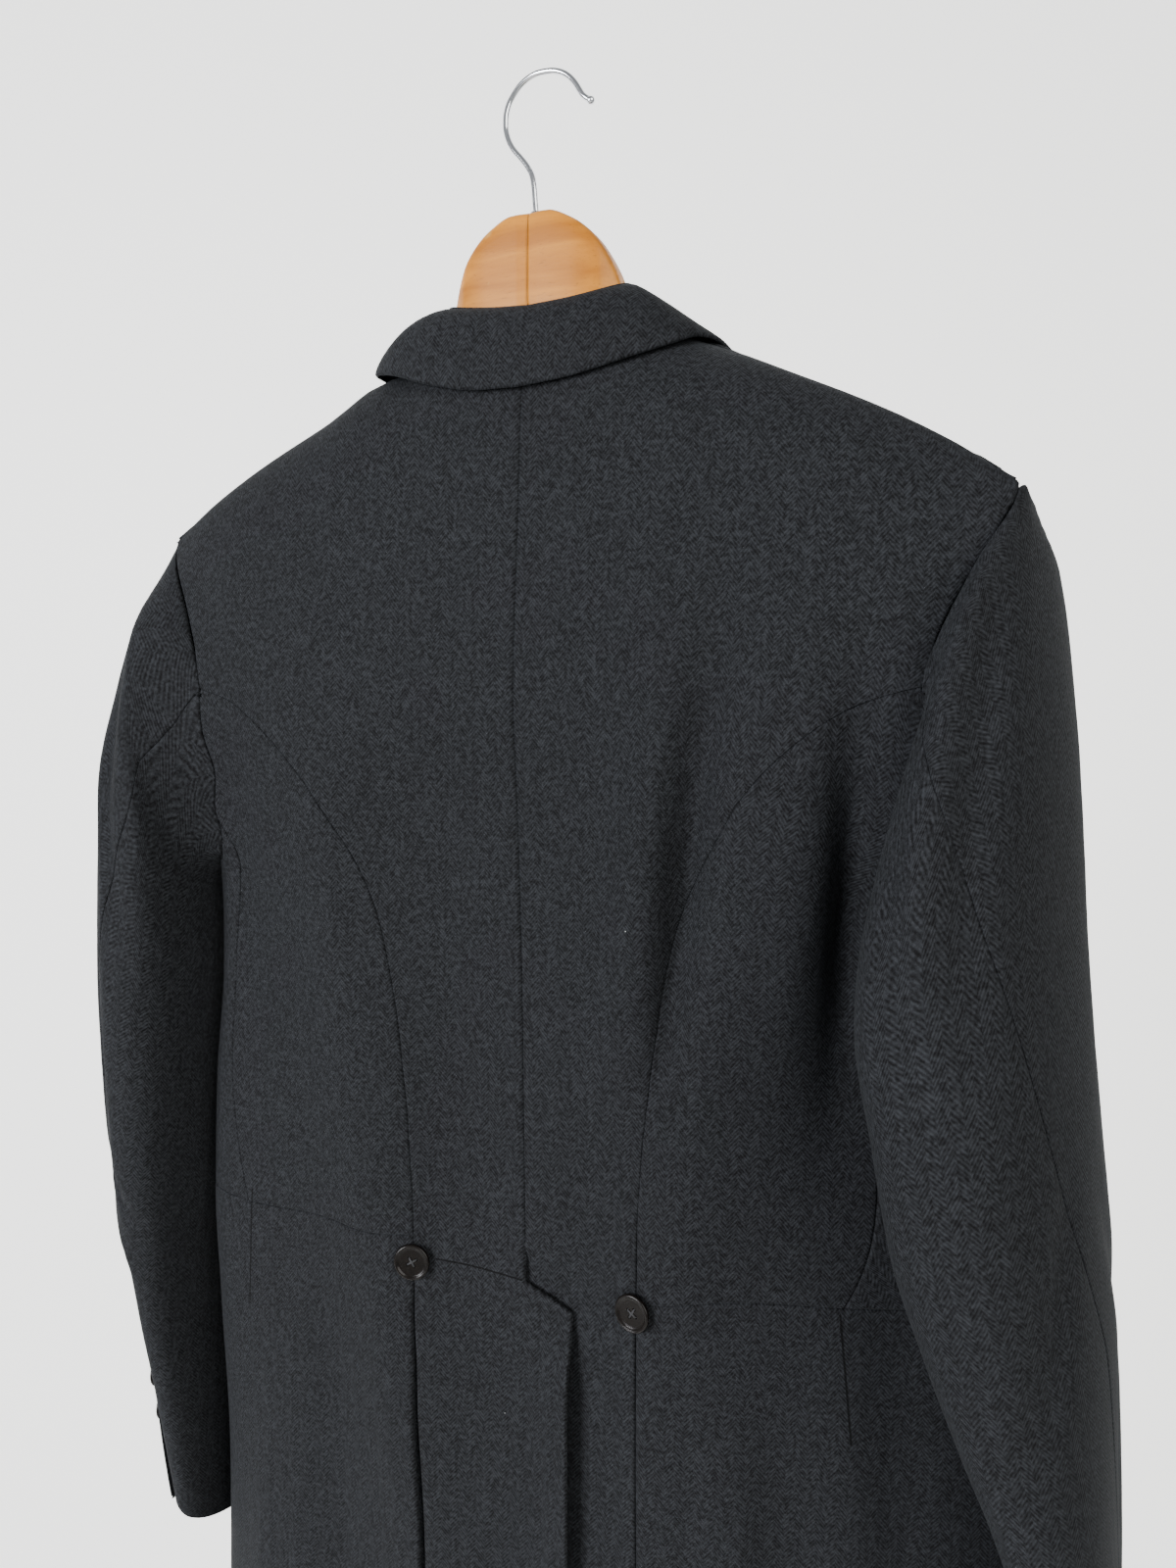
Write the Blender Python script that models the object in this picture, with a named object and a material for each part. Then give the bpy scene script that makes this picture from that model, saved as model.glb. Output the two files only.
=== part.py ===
# Morning coat hanging on a two-part wooden hanger with a wire hook.
# Metres, +Z up. The wearer would face +Y, the back shows towards -Y, the wearer's right is +X.
# The origin is the hanging point, the inside of the top of the hook's bend.
# The coat's own tables are measured from the nape, the back of the neck under the collar's edge.

import math

import bmesh
import bpy
import numpy as np
from mathutils import Matrix, Vector

# Driving sizes
CLOTH = 0.002  # wall of the cloth with its canvas and turnings
SEAM_GAP = 0.0003  # between two pieces that meet at a seam
RIDGE_GAP = 0.0002  # each side of the shoulder seam is drawn back by this much more
SLEEVE_SEAM_GAP = 0.0011  # a sleeve's seams twist, so they are a little further apart
NAPE = (0.0, -0.0185, -0.1560)  # place of the nape below and behind the hanging point

NECK_HALF = 0.075  # centre back to the neck point, where the shoulder seam starts
SHOULDER_HALF = 0.230  # centre back to the shoulder point
JUNCTION_DROP = 0.147  # where the curved back seam meets the armhole
WAIST_DROP = 0.450  # waist seam
HEM_DROP = 0.985  # hem of tails and skirts
PLEAT_HALF = 0.062  # centre back to the pleats under the waist buttons
VENT_LAP = 0.027  # the left tail laps this far over the right one
VENT_UNDERLAP = 0.022  # the right tail goes this far under the left one

PLEAT_TURN = 0.012  # cloth turned in at the edge of each pleat
VENT_LEVELS = (-0.4525, -0.4640)  # where the vent's slanting top starts and ends
TAIL_LEVELS = (-0.500, -0.560, -0.640, -0.730, -0.820, -0.905, -HEM_DROP)
LAPEL_OUT = 0.0031  # outer face of a lapel above the front it lies on
STAND_BOW = 0.0030  # the stand bows in towards the neck by this much
STAND_NECK = 0.52  # share of the collar's half length that is sewn to the back's neckline

WAIST_BUTTON = 0.0195
WAIST_BUTTON_DROP = {-1: 0.000, 1: 0.004}  # below the waist seam
CUFF_BUTTON = 0.0150
SLEEVE_BUTTONS = 3
CUFF_BUTTON_TURN = 13.0  # from the elbow seam round towards the top sleeve

HOOK_WIRE = 0.0028
HANGER_THICK = 0.012

# Cross-sections of the body and the skirts, from above the shoulders down to the hem.
# Each side has its half width, the depth of its widest place and how square its section is.
BODY_COLUMNS = ("height", "left", "left_mid", "left_square", "right", "right_mid", "right_square",
                "back", "front")
BODY_ROWS = (
    (0.040, 0.300, 0.050, 2.5, 0.300, 0.050, 2.5, 0.001, 0.110),
    (-0.060, 0.300, 0.050, 2.5, 0.300, 0.050, 2.5, -0.002, 0.115),
    (-0.147, 0.300, 0.050, 2.5, 0.300, 0.052, 2.5, -0.006, 0.121),
    (-0.205, 0.235, 0.050, 3.6, 0.217, 0.056, 3.2, -0.001, 0.127),
    (-0.250, 0.210, 0.052, 4.4, 0.193, 0.066, 2.8, 0.002, 0.135),
    (-0.310, 0.213, 0.054, 5.0, 0.200, 0.090, 2.3, 0.005, 0.148),
    (-0.370, 0.221, 0.056, 5.2, 0.232, 0.118, 2.1, 0.007, 0.160),
    (-0.450, 0.228, 0.060, 4.8, 0.276, 0.144, 2.1, 0.010, 0.171),
    (-0.520, 0.232, 0.068, 4.0, 0.283, 0.148, 2.1, 0.012, 0.178),
    (-0.620, 0.238, 0.080, 3.2, 0.287, 0.152, 2.1, 0.014, 0.184),
    (-0.800, 0.250, 0.090, 2.8, 0.290, 0.152, 2.1, 0.016, 0.188),
    (-0.990, 0.262, 0.098, 2.6, 0.294, 0.152, 2.1, 0.018, 0.190),
)

# The line that the back and the front share at the top: half of the neckline, then the shoulder seam.
TOP_COLUMNS = ("across", "depth", "height")
NECK_ROWS = (
    (0.000, 0.004, 0.014),
    (0.030, 0.007, 0.017),
    (0.055, 0.019, 0.0215),
    (0.075, 0.040, 0.0245),
)
SHOULDER_ROWS = (
    (0.075, 0.040, 0.0245),
    (0.100, 0.033, 0.0135),
    (0.125, 0.026, 0.0010),
    (0.171, 0.019, -0.0220),
    (0.204, 0.0150, -0.0415),
    (0.219, 0.0140, -0.0520),
    (0.230, 0.0130, -0.0600),
)
RIDGE_BACK = (0.050, 0.026)  # height over which the back rounds to the shoulder seam: neck, shoulder point
RIDGE_FRONT = (0.026, 0.050)
BLADE = {"across": 0.160, "height": -0.150, "wide": 0.095, "tall": 0.095, "rise": 0.016}

# The curved back seam, from the armhole to the waist button.
SEAM_COLUMNS = ("height", "across")
SEAM_ROWS = (
    (-0.1470, 0.1910),
    (-0.1490, 0.1830),
    (-0.1560, 0.1640),
    (-0.1680, 0.1460),
    (-0.1840, 0.1280),
    (-0.2100, 0.1080),
    (-0.2340, 0.0930),
    (-0.2600, 0.0820),
    (-0.3020, 0.0735),
    (-0.3500, 0.0675),
    (-0.4040, 0.0630),
    (-0.4500, 0.0620),
    (-0.9900, 0.0620),
)

# The armhole: turn 0 is the shoulder point, 90 the back, 180 the underarm, 270 the front.
# around is the angle on the body's section, 0 at the centre back and 180 at the centre front.
# The columns at the back and in front are turn, across and height, under the arm turn, around and height.
ARMHOLE_REAR = (
    (0.0, 0.2300, -0.0600),
    (18.0, 0.2230, -0.0760),
    (40.0, 0.2060, -0.1060),
    (66.0, 0.1910, -0.1470),
    (90.0, 0.1890, -0.1850),
    (112.0, 0.1930, -0.2130),
)
ARMHOLE_UNDER = (
    (135.0, 54.0, -0.2340),
    (158.0, 68.0, -0.2470),
    (180.0, 86.0, -0.2500),
    (200.0, 104.0, -0.2470),
    (222.0, 119.0, -0.2330),
)
ARMHOLE_FRONT = (
    (248.0, 0.1880, -0.2020),
    (274.0, 0.1840, -0.1600),
    (305.0, 0.1930, -0.1100),
    (335.0, 0.2130, -0.0740),
    (360.0, 0.2300, -0.0600),
)
UNDERARM_START = -0.2150  # below this the armhole's edge runs along the underarm
UNDERARM_SPREAD = 0.00035  # the cloth's rows fan out under it by this much a degree
SIDE_TURN = 122.0  # the side seam meets the armhole at this turn

# Half width at which the side seam meets the waist, on each side.
SIDE_WAIST = {-1: 0.184, 1: 0.156}
# The side seam bows forwards between the armhole and the waist, by this many degrees.
SIDE_BOW = 6.0

# Front edges: the lapel's roll line, then the cut-away edge of the skirt.
ROLL_COLUMNS = ("height", "across")
ROLL_ROWS = (
    (0.0245, 0.0750),
    (-0.060, 0.0640),
    (-0.180, 0.0440),
    (-0.300, 0.0180),
    (-0.385, -0.0100),
    (-0.425, -0.0160),
    (-0.450, -0.0060),
)
CUTAWAY_COLUMNS = ("height", "around")
CUTAWAY_ROWS = (
    (-0.450, 177.0),
    (-0.480, 169.0),
    (-0.540, 156.0),
    (-0.640, 141.0),
    (-0.760, 125.0),
    (-0.880, 112.0),
    (-0.955, 102.0),
    (-0.985, 93.0),
)

# Soft folds of the back and the skirts. A negative rise is a trough.
# The columns are top_x, top_z, low_x, low_z, half_width and rise.
FOLD_ROWS = (
    (-0.112, -0.190, -0.064, -0.640, 0.034, 0.0150),
    (0.104, -0.200, 0.060, -0.640, 0.030, 0.0080),
    (0.112, -0.120, 0.076, -0.330, 0.012, -0.0060),
    (0.080, -0.160, 0.048, -0.360, 0.020, 0.0040),
    (0.166, -0.150, 0.160, -0.330, 0.011, -0.0065),
    (0.134, -0.200, 0.122, -0.380, 0.020, 0.0040),
    (-0.172, -0.140, -0.178, -0.330, 0.014, -0.0050),
    (-0.118, -0.190, -0.110, -0.350, 0.022, 0.0030),
    (-0.040, -0.230, -0.030, -0.420, 0.020, -0.0020),
    (0.138, -0.490, 0.146, -0.960, 0.016, -0.0060),
    (0.184, -0.470, 0.206, -0.960, 0.014, -0.0070),
    (0.100, -0.500, 0.098, -0.900, 0.020, 0.0040),
    (-0.120, -0.500, -0.128, -0.960, 0.020, -0.0050),
    (-0.172, -0.520, -0.196, -0.960, 0.018, 0.0050),
)

# Sleeve sections. The ring runs from an outer point over the back edge to an inner point.
SLEEVE_COLUMNS = ("outer_z", "inner_z", "x", "y", "half_thick", "half_deep", "yaw")
SLEEVE_ROWS = {
    1: (
        (-0.062, -0.254, 0.2150, 0.0380, 0.0190, 0.0560, 12.0),
        (-0.085, -0.262, 0.2140, 0.0280, 0.0255, 0.0610, 18.0),
        (-0.122, -0.272, 0.2145, 0.0200, 0.0300, 0.0650, 20.0),
        (-0.172, -0.288, 0.2160, 0.0120, 0.0340, 0.0700, 20.0),
        (-0.232, -0.312, 0.2190, 0.0090, 0.0360, 0.0730, 19.5),
        (-0.300, -0.345, 0.2255, 0.0100, 0.0365, 0.0730, 18.0),
        (-0.362, -0.388, 0.2320, 0.0130, 0.0370, 0.0710, 16.0),
        (-0.418, -0.430, 0.2410, 0.0180, 0.0345, 0.0680, 12.0),
        (-0.458, -0.464, 0.2485, 0.0210, 0.0300, 0.0650, 9.0),
        (-0.498, -0.500, 0.2565, 0.0250, 0.0245, 0.0635, 5.0),
        (-0.540, -0.540, 0.2640, 0.0330, 0.0195, 0.0630, 4.0),
        (-0.590, -0.590, 0.2705, 0.0440, 0.0175, 0.0625, 2.0),
        (-0.650, -0.646, 0.2740, 0.0570, 0.0165, 0.0625, 2.0),
    ),
    -1: (
        (-0.062, -0.254, 0.2300, 0.0440, 0.0150, 0.0620, 2.0),
        (-0.085, -0.262, 0.2340, 0.0420, 0.0180, 0.0680, 4.0),
        (-0.122, -0.272, 0.2400, 0.0400, 0.0230, 0.0710, 6.0),
        (-0.172, -0.288, 0.2490, 0.0400, 0.0300, 0.0725, 8.0),
        (-0.232, -0.312, 0.2530, 0.0415, 0.0335, 0.0730, 10.0),
        (-0.300, -0.345, 0.2560, 0.0425, 0.0340, 0.0720, 10.0),
        (-0.362, -0.388, 0.2590, 0.0450, 0.0320, 0.0700, 10.0),
        (-0.418, -0.430, 0.2610, 0.0500, 0.0300, 0.0685, 9.0),
        (-0.458, -0.464, 0.2620, 0.0560, 0.0270, 0.0670, 8.0),
        (-0.498, -0.500, 0.2625, 0.0640, 0.0235, 0.0665, 7.0),
        (-0.540, -0.540, 0.2620, 0.0730, 0.0200, 0.0670, 5.0),
        (-0.590, -0.590, 0.2615, 0.0850, 0.0180, 0.0670, 3.0),
        (-0.656, -0.684, 0.2605, 0.0990, 0.0165, 0.0640, 0.0),
    ),
}
SLEEVE_SQUARE = 2.25
SLEEVE_CLEAR = 0.0045  # room between a hanging sleeve and the side beside it
SLEEVE_RISE = 0.0012  # a sleeve's top edge stands off the armhole by this much
SLEEVE_ROUND = 0.94  # share of a sleeve's depth up to which the side follows its section
SLEEVE_SLOPE = 0.9  # how steeply the side comes out again past a sleeve's edge
SLEEVE_TIE = 0.065  # share of the sleeve over which it takes on the armhole's shape
# Turn of the elbow seam and of the forearm seam along the sleeve, 0 at the armhole, 1 at the cuff.
ELBOW_COLUMNS = ("along", "turn")
UNDER_TURNS = (66.0, 77.0, 92.0, 107.0, 122.0, 141.0, 160.0, 178.0, 196.0, 214.0, 232.0)
TOP_TURNS = (232.0, 247.0, 262.0, 278.0, 294.0, 312.0, 330.0, 346.0, 360.0, 369.0, 382.0,
             398.0, 412.0, 426.0)
ELBOW_ROWS = {
    1: ((0.0, 66.0), (0.05, 70.0), (0.13, 76.0), (0.215, 66.0), (0.315, 47.5), (0.40, 30.0),
        (0.47, 19.0), (0.545, 8.0), (0.62, 0.0), (1.0, -4.0)),
    -1: ((0.0, 66.0), (0.048, 94.0), (0.13, 102.0), (0.215, 98.0), (0.29, 88.5), (0.34, 80.0),
         (0.50, 58.0), (0.75, 50.0), (0.88, 60.0), (1.0, 66.0)),
}
FOREARM_ROWS = {
    1: ((0.0, 232.0), (0.5, 236.0), (1.0, 240.0)),
    -1: ((0.0, 232.0), (0.5, 236.0), (1.0, 240.0)),
}

# Turns at which the armhole's edge has its points: the back, the side body, the front.
BACK_TURNS = (0.0, 1.5, 9.0, 22.0, 38.0, 52.0, 66.0)
SIDE_TURNS = (66.0, 77.0, 92.0, 107.0, SIDE_TURN)
FRONT_TURNS = (360.0, 358.5, 346.0, 330.0, 312.0, 294.0, 278.0, 262.0, 247.0, 232.0, 214.0, 196.0, 178.0,
               160.0, 141.0, SIDE_TURN)
SEAM_LEVELS = (-0.1470, -0.1486, -0.1540, -0.1660, -0.1840, -0.2090, -0.2380, -0.2700, -0.3050, -0.3400,
               -0.3760, -0.4100)

# The waist seam, from the pleat round towards the front.
WAIST_COLUMNS = ("across", "height")
WAIST_ROWS = {
    1: ((0.062, -0.4510), (0.085, -0.4470), (0.110, -0.4440), (0.150, -0.4430)),
    -1: ((0.062, -0.4370), (0.107, -0.4395), (0.142, -0.4425), (0.180, -0.4455)),
}

# Collar: where its fold line and its lower edge run, from the centre back round to the front.
# roll is how fast the fall turns down: a big number falls steeply at once.
COLLAR_COLUMNS = ("along", "fold_x", "fold_y", "fold_z", "edge_x", "edge_y", "edge_z", "roll", "slope")
COLLAR_ROWS = {
    1: (
        (0.00, 0.0000, 0.0080, 0.0415, 0.0000, -0.0035, 0.0000, 3.0, 1.5),
        (0.16, 0.0200, 0.0085, 0.0425, 0.0240, -0.0030, 0.0020, 2.9, 1.5),
        (0.32, 0.0385, 0.0110, 0.0450, 0.0500, 0.0005, 0.0075, 2.4, 1.4),
        (0.45, 0.0515, 0.0190, 0.0480, 0.0760, 0.0125, 0.0165, 1.6, 1.2),
        (0.52, 0.0535, 0.0290, 0.0470, 0.0850, 0.0240, 0.0215, 1.3, 1.1),
        (0.58, 0.0550, 0.0390, 0.0450, 0.0905, 0.0380, 0.0225, 1.1, 1.0),
        (0.72, 0.0570, 0.0640, 0.0400, 0.0915, 0.0720, 0.0190, 1.1, 1.1),
        (0.86, 0.0635, 0.0890, 0.0310, 0.0925, 0.1010, 0.0100, 1.3, 1.3),
        (1.00, 0.0700, 0.1110, 0.0170, 0.0930, 0.1200, -0.0220, 2.0, 1.4),
    ),
    -1: (
        (0.00, 0.0000, 0.0080, 0.0415, 0.0000, -0.0035, 0.0000, 3.0, 1.5),
        (0.16, 0.0200, 0.0085, 0.0430, 0.0240, -0.0030, 0.0010, 2.9, 1.5),
        (0.32, 0.0385, 0.0100, 0.0455, 0.0520, -0.0010, 0.0070, 2.4, 1.5),
        (0.45, 0.0510, 0.0150, 0.0475, 0.0800, 0.0060, 0.0190, 2.0, 1.5),
        (0.58, 0.0560, 0.0330, 0.0480, 0.1000, 0.0250, 0.0250, 1.6, 1.3),
        (0.72, 0.0580, 0.0600, 0.0420, 0.1000, 0.0650, 0.0180, 1.4, 1.2),
        (0.86, 0.0640, 0.0870, 0.0310, 0.0980, 0.1030, 0.0070, 1.6, 1.3),
        (1.00, 0.0700, 0.1110, 0.0170, 0.0930, 0.1200, -0.0220, 2.0, 1.4),
    ),
}

# Lapel: height of its roll line and place of its outer edge, from the peak down to the last buttonhole.
LAPEL_COLUMNS = ("along", "roll_z", "edge_x", "edge_z")
LAPEL_ROWS = (
    (0.00, -0.010, 0.142, -0.044),
    (0.10, -0.045, 0.137, -0.082),
    (0.30, -0.120, 0.122, -0.156),
    (0.55, -0.220, 0.098, -0.240),
    (0.80, -0.320, 0.056, -0.325),
    (1.00, -0.392, 0.004, -0.396),
)
PEAK_DIP = 0.022  # the lapel's top edge dips this far between the collar and the peak

# One arm of the hanger, from the joint at the centre out to its tip.
# The columns are across, top, bottom and depth.
ARM_ROWS = (
    (0.00015, 0.0895, 0.0350, 0.0185),
    (0.0100, 0.0893, 0.0335, 0.0185),
    (0.0230, 0.0838, 0.0310, 0.0190),
    (0.0365, 0.0720, 0.0270, 0.0215),
    (0.0455, 0.0540, 0.0200, 0.0270),
    (0.0490, 0.0380, 0.0140, 0.0290),
    (0.0530, 0.0225, 0.0080, 0.0300),
    (0.0600, 0.0150, 0.0020, 0.0305),
    (0.0850, 0.0085, -0.0070, 0.0300),
    (0.1100, -0.0020, -0.0180, 0.0285),
    (0.1500, -0.0185, -0.0370, 0.0260),
    (0.1850, -0.0380, -0.0570, 0.0235),
    (0.2060, -0.0505, -0.0690, 0.0215),
)

# The hook's wire, in its own upright plane: across and height.
HOOK_ROWS = (
    (0.0000, 0.0680),
    (0.0000, 0.0900),
    (-0.0004, 0.0940),
    (-0.0011, 0.1023),
    (-0.0022, 0.1082),
    (-0.0050, 0.1134),
    (-0.0089, 0.1184),
    (-0.0128, 0.1229),
    (-0.0158, 0.1283),
    (-0.0173, 0.1343),
    (-0.0173, 0.1390),
    (-0.0159, 0.1449),
    (-0.0129, 0.1495),
    (-0.0091, 0.1535),
    (-0.0042, 0.1562),
    (0.0013, 0.1574),
    (0.0077, 0.1570),
    (0.0126, 0.1555),
    (0.0166, 0.1532),
    (0.0205, 0.1492),
    (0.0232, 0.1451),
    (0.0253, 0.1417),
    (0.0295, 0.1385),
)
HOOK_DEPTH = 0.0185
HOOK_SIDE = -0.0013  # the hook stands this far to the left of the coat's middle
HANGER_SIDE = -0.0033  # and the hanger's joint this far

COLOURS = {
    "worsted": (0.020, 0.022, 0.024),
    "button": (0.030, 0.027, 0.026),
    "wood": (0.56, 0.33, 0.15),
    "chrome": (0.75, 0.76, 0.78),
}


def clear_scene():
    for thing in list(bpy.data.objects):
        bpy.data.objects.remove(thing, do_unlink=True)


def make_material(name, roughness, metallic=0.0):
    material = bpy.data.materials.new(name)
    material.use_nodes = True
    shader = material.node_tree.nodes["Principled BSDF"]
    shader.inputs["Base Color"].default_value = (*COLOURS[name], 1.0)
    shader.inputs["Roughness"].default_value = roughness
    shader.inputs["Metallic"].default_value = metallic
    return material


# Curves through short tables

def column(rows, names, name):
    return np.array([row[names.index(name)] for row in rows])


def smooth(xs, ys, x):
    """A curve through the values that never swings past them."""
    xs = np.asarray(xs, float)
    ys = np.asarray(ys, float)
    if xs[0] > xs[-1]:
        xs = xs[::-1]
        ys = ys[::-1]
    step = np.diff(xs)
    rise = np.diff(ys) / step
    slope = np.empty_like(ys)
    slope[0] = rise[0]
    slope[-1] = rise[-1]
    product = rise[:-1] * rise[1:]
    total = rise[:-1] + rise[1:]
    total = np.where(np.abs(total) < 1e-12, 1.0, total)
    slope[1:-1] = np.where(product > 0, 2 * product / total, 0.0)
    x = np.clip(x, xs[0], xs[-1])
    i = np.clip(np.searchsorted(xs, x) - 1, 0, len(step) - 1)
    t = (x - xs[i]) / step[i]
    h = step[i]
    return ((2 * t**3 - 3 * t**2 + 1) * ys[i] + (t**3 - 2 * t**2 + t) * h * slope[i]
            + (3 * t**2 - 2 * t**3) * ys[i + 1] + (t**3 - t**2) * h * slope[i + 1])


def read(rows, names, key, name, value):
    return smooth(column(rows, names, key), column(rows, names, name), value)


def ease(t):
    t = np.clip(t, 0.0, 1.0)
    return t * t * (3 - 2 * t)


# The body's surface

def body_size(side, z):
    key = "left" if side < 0 else "right"
    names = BODY_COLUMNS
    return {
        "half": read(BODY_ROWS, names, "height", key, z),
        "mid": read(BODY_ROWS, names, "height", key + "_mid", z),
        "square": read(BODY_ROWS, names, "height", key + "_square", z),
        "back": read(BODY_ROWS, names, "height", "back", z),
        "front": read(BODY_ROWS, names, "height", "front", z),
    }


def top_line(across):
    """Depth and height of the neckline and the shoulder seam at a distance from the centre."""
    across = np.abs(across)
    at_neck = across < NECK_HALF
    depth = np.where(at_neck, read(NECK_ROWS, TOP_COLUMNS, "across", "depth", across),
                     read(SHOULDER_ROWS, TOP_COLUMNS, "across", "depth", across))
    height = np.where(at_neck, read(NECK_ROWS, TOP_COLUMNS, "across", "height", across),
                      read(SHOULDER_ROWS, TOP_COLUMNS, "across", "height", across))
    return depth, height


def lap_rise(side, x, z, behind):
    """How far the laps of the vent and of the front stand out, or step in under the other side."""
    step = (CLOTH + 0.0014) / 2
    tail = ease((-z - WAIST_DROP + 0.020) / 0.018) * ease((0.070 - x) / 0.030) * (-side)
    front = ease((-z - 0.290) / 0.040) * ease((0.070 - x) / 0.045) * (-side)
    return step * np.where(behind, tail, front)


def fold_rise(x, z):
    total = np.zeros_like(x)
    for top_x, top_z, low_x, low_z, half_width, rise in FOLD_ROWS:
        run = np.clip((z - top_z) / (low_z - top_z), 0.0, 1.0)
        aside = x - (top_x + (low_x - top_x) * run)
        past = np.maximum(z - top_z, 0.0) + np.maximum(low_z - z, 0.0)
        fade = np.exp(-(past / 0.03)**2) * np.sin(math.pi * (0.12 + 0.76 * run))
        total = total + rise * fade * np.exp(-(aside / half_width)**2)
    return total


def beside_sleeve(side, x, y, z):
    """The hanging sleeve presses the side in: what would lie in it goes to its inner face."""
    rows = SLEEVE_ROWS[side]
    value = {}
    for name in SLEEVE_COLUMNS[2:]:
        value[name] = smooth(column(rows, SLEEVE_COLUMNS, "inner_z"), column(rows, SLEEVE_COLUMNS, name), z)
    yaw = np.radians(value["yaw"])
    across = x - value["x"]
    ahead = y - value["y"]
    thick = value["half_thick"] + SLEEVE_CLEAR
    deep = value["half_deep"] + SLEEVE_CLEAR
    along_thick = across * np.cos(yaw) - ahead * np.sin(yaw)
    along_deep = np.abs(across * np.sin(yaw) + ahead * np.cos(yaw)) / deep
    room = (1 - np.minimum(along_deep, SLEEVE_ROUND)**SLEEVE_SQUARE)**(1 / SLEEVE_SQUARE)
    limit = -thick * room + np.maximum(along_deep - SLEEVE_ROUND, 0.0) * deep * SLEEVE_SLOPE
    start = ease((rows[0][1] - z) / 0.020 + 0.2)
    end = ease((z - rows[-1][1]) / 0.030 + 1.0)
    return x - np.maximum(along_thick - limit, 0.0) / np.cos(yaw) * start * end * (x > 0.12)


def body_point(side, around, z, out=0.0):
    """A point of the coat's outer surface. around is in degrees, out lies off the surface."""
    around, z = np.broadcast_arrays(np.asarray(around, float), np.asarray(z, float))
    size = body_size(side, z)
    turn = np.radians(around)
    power = 2.0 / size["square"]
    sine = np.clip(np.sin(turn), 0.0, 1.0)
    cosine = np.cos(turn)
    behind = cosine > 0
    x = size["half"] * sine**power
    reach = np.where(behind, size["mid"] - size["back"], size["front"] - size["mid"])
    y = size["mid"] - np.sign(cosine) * reach * np.abs(cosine)**power
    # The shoulder blades push the back out near the armholes
    blade = BLADE["rise"] * np.exp(-((x - BLADE["across"]) / BLADE["wide"])**2
                                   - ((z - BLADE["height"]) / BLADE["tall"])**2)
    off = np.where(behind, blade + fold_rise(side * x, z), 0.0) + lap_rise(side, x, z, behind)
    # Near the top the surface rounds over to the shoulder seam
    depth, height = top_line(x)
    drop = np.maximum(height - z, 0.0)
    share = np.clip((x - NECK_HALF) / (SHOULDER_HALF - NECK_HALF), 0.0, 1.0)
    ridge = np.where(behind, RIDGE_BACK[0] + (RIDGE_BACK[1] - RIDGE_BACK[0]) * share,
                     RIDGE_FRONT[0] + (RIDGE_FRONT[1] - RIDGE_FRONT[0]) * share)
    left_over = np.clip(1.0 - drop / ridge, 0.0, 1.0)
    pull = 1.0 - np.sqrt(np.clip(1.0 - left_over**2, 0.0, 1.0))
    x = x + off * sine**2 * (1 - pull)
    y = (y - off * cosine) * (1 - pull) + depth * pull
    x = beside_sleeve(side, x, y, z)
    point = np.stack([side * x, y, z], axis=-1)
    if out:
        point = point + out * body_normal(side, around, z)
    return point


def body_normal(side, around, z):
    """The direction straight out of the coat's surface."""
    around, z = np.broadcast_arrays(np.asarray(around, float), np.asarray(z, float))
    turned = body_point(side, around + 0.4, z) - body_point(side, around - 0.4, z)
    raised = body_point(side, around, z + 0.0004) - body_point(side, around, z - 0.0004)
    normal = np.cross(turned, raised)
    normal = normal / np.linalg.norm(normal, axis=-1, keepdims=True)
    turn = np.radians(around)
    outwards = np.stack([side * np.sin(turn), -np.cos(turn), np.full(turn.shape, 0.4)], axis=-1)
    return normal * np.sign(np.sum(normal * outwards, axis=-1, keepdims=True))


def around_at(side, x, z, front=False):
    """The angle on the section where the surface is x from the centre."""
    size = body_size(side, z)
    sine = np.clip(np.abs(x) / size["half"], 0.0, 1.0)**(size["square"] / 2.0)
    angle = np.degrees(np.arcsin(sine))
    return np.where(front, 180.0 - angle, angle)


def armhole(side, turn):
    """Angle on the section and height of the armhole's edge at a turn."""
    turns = []
    angles = []
    heights = []
    for mark, across, height in ARMHOLE_REAR:
        turns.append(mark)
        angles.append(float(around_at(side, across, height)))
        heights.append(height)
    for mark, around, height in ARMHOLE_UNDER:
        turns.append(mark)
        angles.append(around)
        heights.append(height)
    for mark, across, height in ARMHOLE_FRONT:
        turns.append(mark)
        angles.append(float(around_at(side, across, height, front=True)))
        heights.append(height)
    return smooth(turns, angles, turn), smooth(turns, heights, turn)


def waist_at(side, around):
    """Height of the waist seam: it dips or rises towards the pleat and is level in front."""
    across = np.abs(body_point(side, around, -WAIST_DROP)[..., 0])
    across = np.where(np.asarray(around) > 90.0, SHOULDER_HALF, across)
    return read(WAIST_ROWS[side], WAIST_COLUMNS, "across", "height", across)


def pleat_around(side):
    return float(around_at(side, PLEAT_HALF, -WAIST_DROP))


def seam_levels(side):
    return SEAM_LEVELS + (float(waist_at(side, pleat_around(side))),)


def side_around(side, z):
    """The side seam, from the armhole down to the waist."""
    top_around, top_z = armhole(side, SIDE_TURN)
    low_around = around_at(side, SIDE_WAIST[side], -WAIST_DROP)
    share = np.clip((z - top_z) / (-WAIST_DROP - top_z), 0.0, 1.0)
    return top_around + (low_around - top_around) * share + SIDE_BOW * np.sin(math.pi * share)


# Cloth pieces: each is a grid of points with the direction out of the cloth at every point

def trimmed(points, gap=SEAM_GAP):
    """The same grid of points with its border drawn in by half the seam gap."""
    points = np.array(points, float)
    for edge, inner in ((points[:, 0], points[:, 1]), (points[:, -1], points[:, -2]),
                        (points[0], points[1]), (points[-1], points[-2])):
        way = inner - edge
        edge += way / np.linalg.norm(way, axis=-1, keepdims=True) * gap / 2
    return points


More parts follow.
